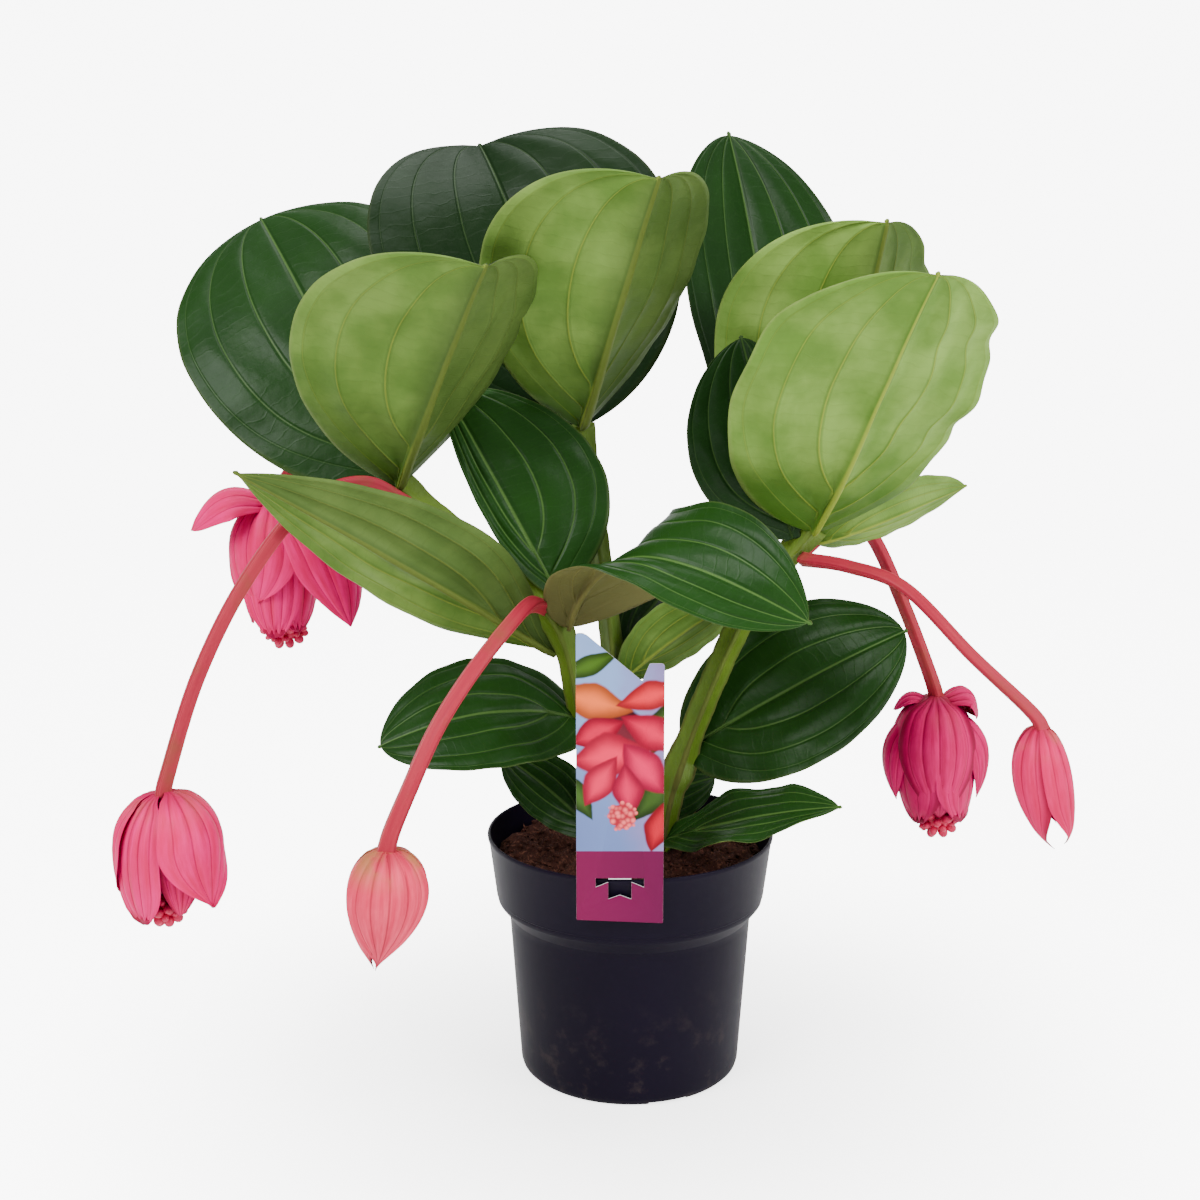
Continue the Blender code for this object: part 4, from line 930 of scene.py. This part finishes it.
for name, spec in LEAVES.items():
    large, pale = spec.get("columns") != "few", name in PALE_LEAVES
    rows, rungs = (92, 24) if large else (44, 14)
    even = np.linspace(0, 1, rows)
    # The last two rows draw the tip out into a short spike
    t = np.append(0.45 * even + 0.55 * (1 - np.cos(math.pi * even)) / 2, [1.005, 1.013])
    s = leaf_columns(large)
    leaf = add_blade(name + "_blade", spec, t, s, spec.get("rib", MIDRIB_HEIGHT), spec.get("quilt", 1.2),
                     rungs, 1.0 if pale else 0.35)
    tones_and_painted_shade = np.full(2 * len(t) * len(s), TONES.get(name, 1.0))
    if pale and spec.get("fold", (0, 0))[0] > 30:
        # Painted shade: the folded-over half, and a strip of the other half beside the midrib, is darkened by
        # up to 62%
        tones_and_painted_shade *= np.tile(1 - 0.62 * np.clip((0.22 - s) / 0.22, 0, 1), 2 * len(t))
    add_value(leaf, "tone_and_painted_shade", tones_and_painted_shade)
    add_value(leaf, "brown", np.full(len(tones_and_painted_shade), 0.85 if name == "leaf_curled" else 0.0))
    leaf.data.materials.append(leaf_skin)
    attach(leaf, "root")
    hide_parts(name)


# Flower stalks
# Fleshy pink stalks, flattened, with a ridge along each face and a sharp edge at each side. They arch over
# under the weight of the blooms and thicken a little where each bloom joins.

# A quarter of the section, in half widths: from a sharp edge up to the ridge on one face
STALK_SIDE = [(1.16, 0.0), (0.9976, 0.268), (0.6728, 0.5092), (0.3248, 0.6968), (0.116, 0.8844), (0.0, 0.938)]
STALK_FACE = STALK_SIDE + [(-x, y) for x, y in STALK_SIDE[-2::-1]]
STALK_SECTION = STALK_FACE + [(-x, -y) for x, y in STALK_FACE[1:-1]]
STALK_NECK, STALK_SEAT = 8.4, 4.0
STALK_STEPS = 14
STALKS = {
    "stalk_1": dict(bloom="bloom_1", half_width=4.24, route=[
        (-125, -11, 346), (-146, 30, 370), (-175, 68, 370), (-202, 92, 358)]),
    "stalk_2": dict(bloom="bloom_2", half_width=4.77, route=[
        (-126, -22, 346), (-150, -40, 362), (-178, -66, 354), (-208, -88, 316), (-232, -103, 268)]),
    "stalk_3": dict(bloom="bud_3", half_width=5.088, route=[
        (-49, -32, 290), (-57, -62, 298), (-68, -86, 291), (-87, -108, 270), (-104, -125, 245),
        (-118, -136, 215)]),
    "stalk_4": dict(bloom="bloom_4", half_width=4.558, route=[
        (97, -2, 316), (128, 34, 330), (147, 48, 315), (168, 50, 271)]),
    "stalk_5": dict(bloom="bud_5", half_width=4.24, route=[
        (98, -12, 314), (122, -34, 314), (150, -60, 307), (184, -80, 274)]),
}
BLOOM_TOPS = {"bloom_1": (-221, 100, 334), "bloom_2": (-251, -110, 208), "bud_3": (-129, -140, 186),
              "bloom_4": (188, 50, 218), "bud_5": (220, -90, 238)}

stalk_skin, tree, shader = new_material("stalk_skin", 0.42, 0.1)
around = add_node(tree, "UVMap").outputs[0]
# The section's two faces meet at u = 0 and u = 0.5, where the sharp edges are
apart = maths(tree, "FRACT", times(tree, split(tree, around)["X"], 2.0))
near_edge = maths(tree, "ABSOLUTE", maths(tree, "SUBTRACT", apart, 0.5))
ribbing = grain(tree, scaled(tree, around, (22, 30, 1)), 1.0, 4.0, 0.6, 0.3, 0.0005)
skin = set_mix(tree, ribbing["Value"], (0.270, 0.006, 0.028), (0.420, 0.034, 0.052))
green = ramp(tree, noise_of(tree, object_place(tree), 38.0, 3.0), 0.52, 0.75)
skin = layered(tree, skin,
               (green, 0.55, (0.170, 0.070, 0.028)),
               (ramp(tree, near_edge, 0.10, 0.0), 0.6, (0.520, 0.110, 0.110)),
               (ramp(tree, near_edge, 0.42, 0.5), 0.6, (0.200, 0.004, 0.018)))
cover(tree, shader, skin, ribbing["Normal"])

for name, spec in STALKS.items():
    top = Vector(BLOOM_TOPS[spec["bloom"]])
    away = Vector((0, 0, 0.4)) + (Vector(spec["route"][-1]) - top).normalized()
    neck = top + away.normalized() * STALK_NECK
    seat = top + (top - neck).normalized() * STALK_SEAT
    line = smooth_route(spec["route"] + [neck, seat], STALK_STEPS)
    sizes = []
    for i in range(len(line)):
        thicker = 0.25 * (i / (len(line) - 1)) ** 6 + 0.12 * math.exp(-i / 4)
        sizes.append(spec["half_width"] * (1 + thicker))
    stalk = swept(name + "_stalk", line, STALK_SECTION, sizes, (1, 0.4, 0))
    stalk.data.materials.append(stalk_skin)
    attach(stalk, "root")
    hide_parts(name)


# Blooms and buds
# Whorls of thin, cupped pink bracts with sunken lines that run to their pointed tips. The inner ones lap each
# other round the flower buds, the outer ones lift away, and each bloom hangs from its stalk.

BRACT_VEINS = [(0.0, 0.0, 0.6, 0.8), (0.38, 0.0, 0.55, 0.75), (0.72, 0.0, 0.4, 0.6)]
BRACT_THICKNESS = 0.8
half = [0.0]
for a, b in zip([v[0] for v in BRACT_VEINS], [v[0] for v in BRACT_VEINS[1:]] + [1.0]):
    half += [a + 0.02, a + 0.06, (a + b) / 2, b - 0.06, b - 0.02, b]
PETAL_S = np.array([-u for u in reversed(half[1:])] + half)
PETAL_T = np.concatenate([np.linspace(0, 0.1, 6)[:-1], np.linspace(0.1, 0.9, 34)[:-1],
                          np.linspace(0.9, 1.0, 9)])


def inner_bract(bloom, radius, drop, turn, half_angle, belly_at, mouth, widest, tip_power, more):
    """Points of a bract that wraps part of the way round its bloom, in millimetres."""
    top = BLOOM_TOPS[bloom]
    rows, across = PETAL_T[:, None], PETAL_S[None, :]
    share = half_outline(rows, belly_at, 0.5, more.get("close", 0.7))
    share = np.where(rows > belly_at, mouth + (1 - mouth) * share, share)
    arc = np.maximum(1 - (np.maximum(rows - widest, 0) / (1 - widest)) ** 2, 0) ** tip_power
    arc = arc * np.clip(more.get("foot", 0.55) + rows / 0.25, 0, 1)
    angle = math.radians(turn) + math.radians(half_angle) * arc * across
    radius = share * (radius + more.get("flare", 0.0) * rows * across ** 2)
    sink = drop * rows + more.get("ruffle", 0.0) * rows ** 8 * np.cos(5 * math.pi * across)
    x = top[0] + radius * np.cos(angle) + more.get("lean", 0) * rows ** 2
    y = top[1] + radius * np.sin(angle)
    return np.stack([x, y, top[2] - more.get("start", 0.0) - sink], -1)


def outer_bract(bloom, turn, tip_out, drop, belly, half_width, cup, more):
    """Points of a bract that leaves the top of its bloom, bellies out and comes to a point."""
    top = Vector(BLOOM_TOPS[bloom])
    radial = heading(turn)
    shape = dict(
        base=top + Vector((0, 0, -6.0)) + radial * 1.5, tip=top + radial * tip_out + Vector((0, 0, -drop)),
        facing=radial, half_width=half_width, widest=0.55, base_power=0.5, tip_power=0.7,
        arch=(belly, belly * 0.9), fold=(-6, -6), curl=(-cup, -cup), stub=3.0)
    shape.update(more)
    flat, _ = blade_grid(shape, PETAL_T, PETAL_S, BRACT_VEINS[:1])
    return flat[:, ::-1]


def add_petals(name, grids, lapped, swelling):
    """One piece from the grids of its bracts, each a closed shell with sunken lines on its outer side."""
    points, faces, spans, laps = [], [], [], []
    t, s = PETAL_T[:, None], PETAL_S
    total = len(t) * len(s)
    for n, flat in enumerate(grids):
        spread = np.gradient(flat, s, axis=1)
        span = np.linalg.norm(spread, axis=2)
        normal = unit(np.cross(np.gradient(flat, PETAL_T, axis=0), spread))
        ridge, swell = relief(s, span, PETAL_T, BRACT_VEINS)
        fade = np.clip(t / 0.06, 0, 1) * np.clip((1.02 - t) / 0.1, 0, 1)
        lift = (swelling * swell[None, :] - 0.8 * ridge) * fade * np.clip(span / 12.0, 0.15, 1.0)
        slim = np.clip((1 - np.abs(s)[None, :]) * span / 1.2, 0.0, 1.0)
        outer = flat + normal * lift[..., None]
        inner = flat + normal * (lift - BRACT_THICKNESS * (0.3 + 0.7 * slim))[..., None]
        points += [outer.reshape(-1, 3), inner.reshape(-1, 3)]
        faces += [tuple(2 * total * n + k for k in face) for face in shell_faces(len(t), len(s), True)]
        spans += [span.ravel()] * 2
        laps += [1.0 if n in lapped else 0.0] * total * 2
    piece = add_mesh(name, np.concatenate(points) * 0.001, faces)
    add_uv(piece, np.tile(shell_places(PETAL_T, s), (len(grids), 1)))
    add_value(piece, "span", np.concatenate(spans))
    add_value(piece, "underside", np.tile(np.repeat([0.0, 1.0], total), len(grids)))
    # Marks the lapped bracts, whose tucked edges the skin darkens as painted shade
    add_value(piece, "lapped", laps)
    return piece


def bract_skin(name, deep, mid, pale, tint, tint_share):
    """Pink bract skin: darker lines, paler swellings, a tint near the foot and the tip, and painted shade on
    each bract's inner side and where a lapped bract goes under its neighbour.
    """
    material, tree, shader = new_material(name, 0.42, 0.07)
    across, along, span = blade_places(tree)
    lines = vein_lines(tree, (across, along, span), BRACT_VEINS, 1.2)
    stretched = scaled(tree, add_node(tree, "UVMap").outputs[0], (14, 2, 1))
    ribbing = grain(tree, stretched, 1.0, 5.0, 0.6, 0.25, 0.0005)
    cloud = noise_of(tree, object_place(tree), 45.0, 3.0)
    ends = maths(tree, "MAXIMUM", ramp(tree, along, 0.30, 0.04), ramp(tree, along, 0.86, 0.99))
    painted_shade_where_lapped = times(tree, ramp(tree, across, 0.70, 0.92), attribute(tree, "lapped"))
    colour = set_mix(tree, ramp(tree, ribbing["Value"], 0.3, 0.7), mid, pale)
    colour = layered(tree, colour,
                     (ramp(tree, cloud, 0.4, 0.7), 0.5, mid),
                     (lines, 0.55, deep),
                     (ramp(tree, along, 0.16, 0.0), 0.6, deep),
                     (times(tree, ends, ramp(tree, cloud, 0.42, 0.6)), tint_share, tint),
                     # Painted shade: the edge of a lapped bract, where it goes under its neighbour
                     (painted_shade_where_lapped, 0.75, deep),
                     # Painted shade: the inner side of every bract
                     (attribute(tree, "underside"), 0.75, deep))
    cover(tree, shader, colour, ribbing["Normal"], plus(tree, times(tree, ribbing["Value"], 0.2), 0.32))
    return material


hot_pink = bract_skin(
    "bract_hot_pink", (0.220, 0.001, 0.022), (0.600, 0.0006, 0.080), (0.800, 0.002, 0.170),
    (0.260, 0.130, 0.040), 0.25)
rose_pink = bract_skin(
    "bract_rose_pink", (0.150, 0.0008, 0.018), (0.430, 0.0010, 0.068), (0.640, 0.003, 0.130),
    (0.220, 0.075, 0.030), 0.15)
bud_pink = bract_skin(
    "bract_bud_pink", (0.220, 0.002, 0.022), (0.560, 0.002, 0.070), (0.740, 0.012, 0.130),
    (0.420, 0.220, 0.080), 0.45)
salmon_pink = bract_skin(
    "bract_salmon", (0.260, 0.008, 0.025), (0.620, 0.020, 0.070), (0.820, 0.070, 0.130),
    (0.330, 0.190, 0.055), 0.7)

# Outer bracts: turn, how far out and down the tip is, belly, half width, cup and what else differs.
# Inner bracts: radius, drop, turn, half angle, where the belly is, mouth, widest place, tip and what else.
BLOOMS = {
    "bloom_1": dict(skin=hot_pink, lapped=(2, 7), swelling=0.7, outer=[
        (190, 54, 22, 25, 35, 45, dict(tip_power=0.65)),
        (-32, 57, 79, 30, 32, 45, dict(tip_power=0.9, twist=20)),
        (70, 36, 74, 33, 24, 65, {}),
    ], inner=[
        (30.0, 64, -122, 66, 0.5, 0.72, 0.42, 0.6, dict(start=2, flare=2.5, ruffle=1.0)),
        (24.5, 82, -40, 62, 0.42, 0.66, 0.62, 0.4, dict(start=2, ruffle=3.2)),
        (26.0, 85, -95, 46, 0.42, 0.64, 0.66, 0.4, dict(start=2, ruffle=3.2, flare=2.0)),
        (25.5, 78, -170, 70, 0.42, 0.70, 0.62, 0.4, dict(start=2, ruffle=3.2)),
        (25.5, 80, 90, 100, 0.42, 0.66, 0.6, 0.4, dict(start=2, ruffle=3.2)),
    ]),
    "bloom_2": dict(skin=hot_pink, lapped=(2, 5), swelling=0.7, outer=[], inner=[
        (29.0, 62, -26, 62, 0.5, 0.96, 0.40, 1.0, dict(flare=2.5, foot=0.8)),
        (26.5, 68, -130, 44, 0.5, 0.68, 0.66, 0.3, dict(start=1, flare=2.5, ruffle=2.4)),
        (22.0, 67, -56, 38, 0.42, 0.62, 0.5, 0.7, dict(start=1)),
        (28.5, 60, 176, 48, 0.5, 0.80, 0.42, 0.8, dict(start=1, flare=1.0)),
        (24.5, 60, 20, 66, 0.42, 0.55, 0.6, 0.6, dict(start=1)),
        (25.0, 62, 110, 80, 0.42, 0.6, 0.6, 0.5, dict(start=1, ruffle=1.6)),
    ]),
    "bloom_4": dict(skin=rose_pink, lapped=(4, 5), swelling=0.45, outer=[
        (186, 22, 68, 27, 20, 70, dict(tip_power=0.9)),
        (-10, 28, 66, 27, 20, 70, dict(tip_power=0.9)),
        (10, 28, 17, 21, 22, 40, dict(tip_power=0.4, widest=0.6)),
        (168, 25, 12, 12, 11, 50, dict(tip_power=0.5)),
    ], inner=[
        (27.5, 77, -92, 58, 0.42, 0.42, 0.36, 0.9, dict(lean=4)),
        (25.5, 78, -150, 62, 0.42, 0.58, 0.68, 0.35, dict(start=1, ruffle=3.0, flare=1.5, lean=4)),
        (25.5, 76, -36, 62, 0.42, 0.64, 0.68, 0.35, dict(start=1, ruffle=3.4, flare=2.0, lean=4)),
        (25.0, 72, 35, 66, 0.42, 0.60, 0.66, 0.4, dict(start=1, ruffle=3.4, lean=4)),
        (25.5, 74, 130, 76, 0.42, 0.56, 0.66, 0.4, dict(start=1, ruffle=3.0, lean=4)),
    ]),
    "bud_3": dict(skin=salmon_pink, lapped=(1, 2), swelling=0.6, outer=[], inner=[
        (22.2, 69, -80, 68, 0.34, 0.0, 0.35, 0.75, dict(close=1.2, lean=-8, flare=1.3, foot=0.9)),
        (20.6, 68, 178, 88, 0.34, 0.0, 0.7, 0.6, dict(close=1.1, lean=-9, foot=1)),
        (20.8, 68, -4, 88, 0.34, 0.0, 0.7, 0.6, dict(close=1.2, lean=-8, foot=1)),
        (20.4, 67, 88, 88, 0.34, 0.0, 0.7, 0.6, dict(close=1.15, lean=-8, foot=1)),
    ]),
    "bud_5": dict(skin=bud_pink, lapped=(0, 2), swelling=0.5, outer=[], inner=[
        (15.0, 71, 178, 100, 0.42, 0.0, 0.55, 0.6, dict(close=0.8, lean=12, foot=1)),
        (16.0, 68, -12, 88, 0.42, 0.0, 0.6, 0.6, dict(close=0.75, lean=17, flare=1.0, foot=1)),
        (14.0, 56, 90, 100, 0.42, 0.0, 0.6, 0.6, dict(close=0.85, lean=12, foot=1)),
    ]),
}
for name, spec in BLOOMS.items():
    grids = [outer_bract(name, *row) for row in spec["outer"]]
    grids += [inner_bract(name, *row) for row in spec["inner"]]
    bloom = add_petals(name + "_bracts", grids, spec["lapped"], spec["swelling"])
    bloom.data.materials.append(spec["skin"])
    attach(bloom, "root")
    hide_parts(name)


# Flower buds
# Small round pink buds on short stalks, crowded in a bunch that shows below the open bracts of each bloom.

# Middle and half sizes of each bunch
BUNCHES = {"bloom_1": ((-219, 100, 247.0), (12.0, 12.0, 9.0)),
           "bloom_2": ((-254, -110, 141.5), (9.0, 9.0, 7.0)),
           "bloom_4": ((192, 50, 138.0), (11.0, 11.0, 9.0))}
BERRIES = 34
BERRY_TURN = 2.39996
berry_skin, tree, shader = new_material("flower_bud_skin", 0.35, 0.25)
place = object_place(tree)
cloud = noise_of(tree, place, 220.0, 3.0)
cover(tree, shader, set_mix(tree, cloud, (0.360, 0.004, 0.030), (0.800, 0.020, 0.120)),
      grain(tree, place, 600.0, 3.0, 0.5, 0.15, 0.0003)["Normal"])

deselect_all()
bpy.ops.mesh.primitive_uv_sphere_add(segments=12, ring_count=8, radius=1.0)
seed, ball_faces = shape_of(take_new("bud_ball"))
for name, (middle, bunch) in BUNCHES.items():
    points, faces = [], []
    for n in range(BERRIES):
        height = 0.75 - 1.72 * (n + 0.5) / BERRIES
        ring, turn = math.sqrt(1 - height * height), BERRY_TURN * n
        out = Vector((ring * math.cos(turn), ring * math.sin(turn), height))
        size = 2.5 + 0.6 * math.sin(n * 2.7)
        axis = out.to_track_quat("Z", "Y").to_matrix()
        faces += [tuple(len(points) + v for v in f) for f in ball_faces]
        for a, b, c in seed:
            pear = size * (1 + (0.12 if c > 0 else 0.45) * c)
            p = axis @ Vector((a * pear, b * pear, c * size * 1.45))
            points.append([(middle[i] + out[i] * bunch[i] + p[i]) * 0.001 for i in range(3)])
    # A ball that fills the middle of the bunch
    faces += [tuple(len(points) + v for v in f) for f in ball_faces]
    points += [[(middle[i] + corner[i] * bunch[i] * 0.92) * 0.001 for i in range(3)] for corner in seed]
    bunch_piece = add_mesh(name + "_flower_buds", points, faces)
    bunch_piece.data.materials.append(berry_skin)
    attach(bunch_piece, "root")
    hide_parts(name + "_berries")


# Studio
# A white sweep, soft light from above and the front left, and the camera where the photograph was taken from.

PAPER_GLOW = 7.0
AIR_LIGHT = 0.38
LAMP_AIM = Vector((0, 0, 0.3))
# Place, size in metres and power in watts
LAMPS = {"key": ((-1.5, -1.6, 2.3), 1.6, 125.0), "fill": ((2.0, -1.3, 1.4), 1.8, 85.0),
         "top": ((0.1, 0.5, 2.6), 1.8, 55.0)}
CAMERA_PLACE = (-0.018, -1.090, 0.527)
CAMERA_DOWN = 12.4
CAMERA_LENS = 57.5

deselect_all()
bpy.ops.mesh.primitive_plane_add(size=1, location=(0, 0, 0))
sweep = take_new("studio_sweep")
sweep.scale = (9, 6, 1)
settle(sweep)
bpy.ops.object.mode_set(mode="EDIT")
bpy.ops.mesh.select_all(action="DESELECT")
bpy.ops.object.mode_set(mode="OBJECT")
for edge in sweep.data.edges:
    edge.select = all(sweep.data.vertices[v].co.y > 2 for v in edge.vertices)
bpy.ops.object.mode_set(mode="EDIT")
bpy.ops.mesh.select_mode(type="EDGE")
bpy.ops.mesh.extrude_region_move(TRANSFORM_OT_translate={"value": (0, 0, 5)})
bpy.ops.object.mode_set(mode="OBJECT")
curve = sweep.modifiers.new("curve", "BEVEL")
curve.width = 1.4
curve.segments = 24
curve.limit_method = "ANGLE"
bpy.ops.object.modifier_apply(modifier="curve")
sweep.data.shade_smooth()
material, tree, shader = new_material("studio_paper", 0.9)
shader.inputs["Base Color"].default_value = (0.86, 0.86, 0.86, 1)
# The paper glows white for camera rays only and lights nothing; within about 0.4 m of the pot the glow falls
# to 0.4 of its strength, a painted shadow round the pot
away = add_node(tree, "VectorMath", {0: object_place(tree)}, operation="LENGTH").outputs["Value"]
glow_and_painted_shadow = plus(tree, times(tree, ramp(tree, away, 0.04, 0.42), 0.6), 0.4)
glow_and_painted_shadow = times(tree, glow_and_painted_shadow, add_node(tree, "LightPath").outputs["Is Camera Ray"])
shader.inputs["Emission Color"].default_value = (1, 1, 1, 1)
tree.links.new(times(tree, glow_and_painted_shadow, PAPER_GLOW), shader.inputs["Emission Strength"])
sweep.data.materials.append(material)

world = bpy.data.worlds.new("studio_air")
world.use_nodes = True
air = world.node_tree.nodes["Background"]
air.inputs["Color"].default_value = (1.0, 1.0, 1.0, 1)
air.inputs["Strength"].default_value = AIR_LIGHT
bpy.context.scene.world = world
for name, (spot, size, power) in LAMPS.items():
    lamp = bpy.data.lights.new(name + "_light", "AREA")
    lamp.size = size
    lamp.energy = power
    holder = bpy.data.objects.new(name + "_light", lamp)
    holder.location = spot
    holder.rotation_euler = (LAMP_AIM - Vector(spot)).to_track_quat("-Z", "Y").to_euler()
    bpy.context.scene.collection.objects.link(holder)

lens = bpy.data.cameras.new("camera")
lens.lens = CAMERA_LENS
lens.sensor_width = 36
camera = bpy.data.objects.new("camera", lens)
camera.location = CAMERA_PLACE
camera.rotation_euler = (math.radians(90 - CAMERA_DOWN), 0, 0)
bpy.context.scene.collection.objects.link(camera)
bpy.context.scene.camera = camera
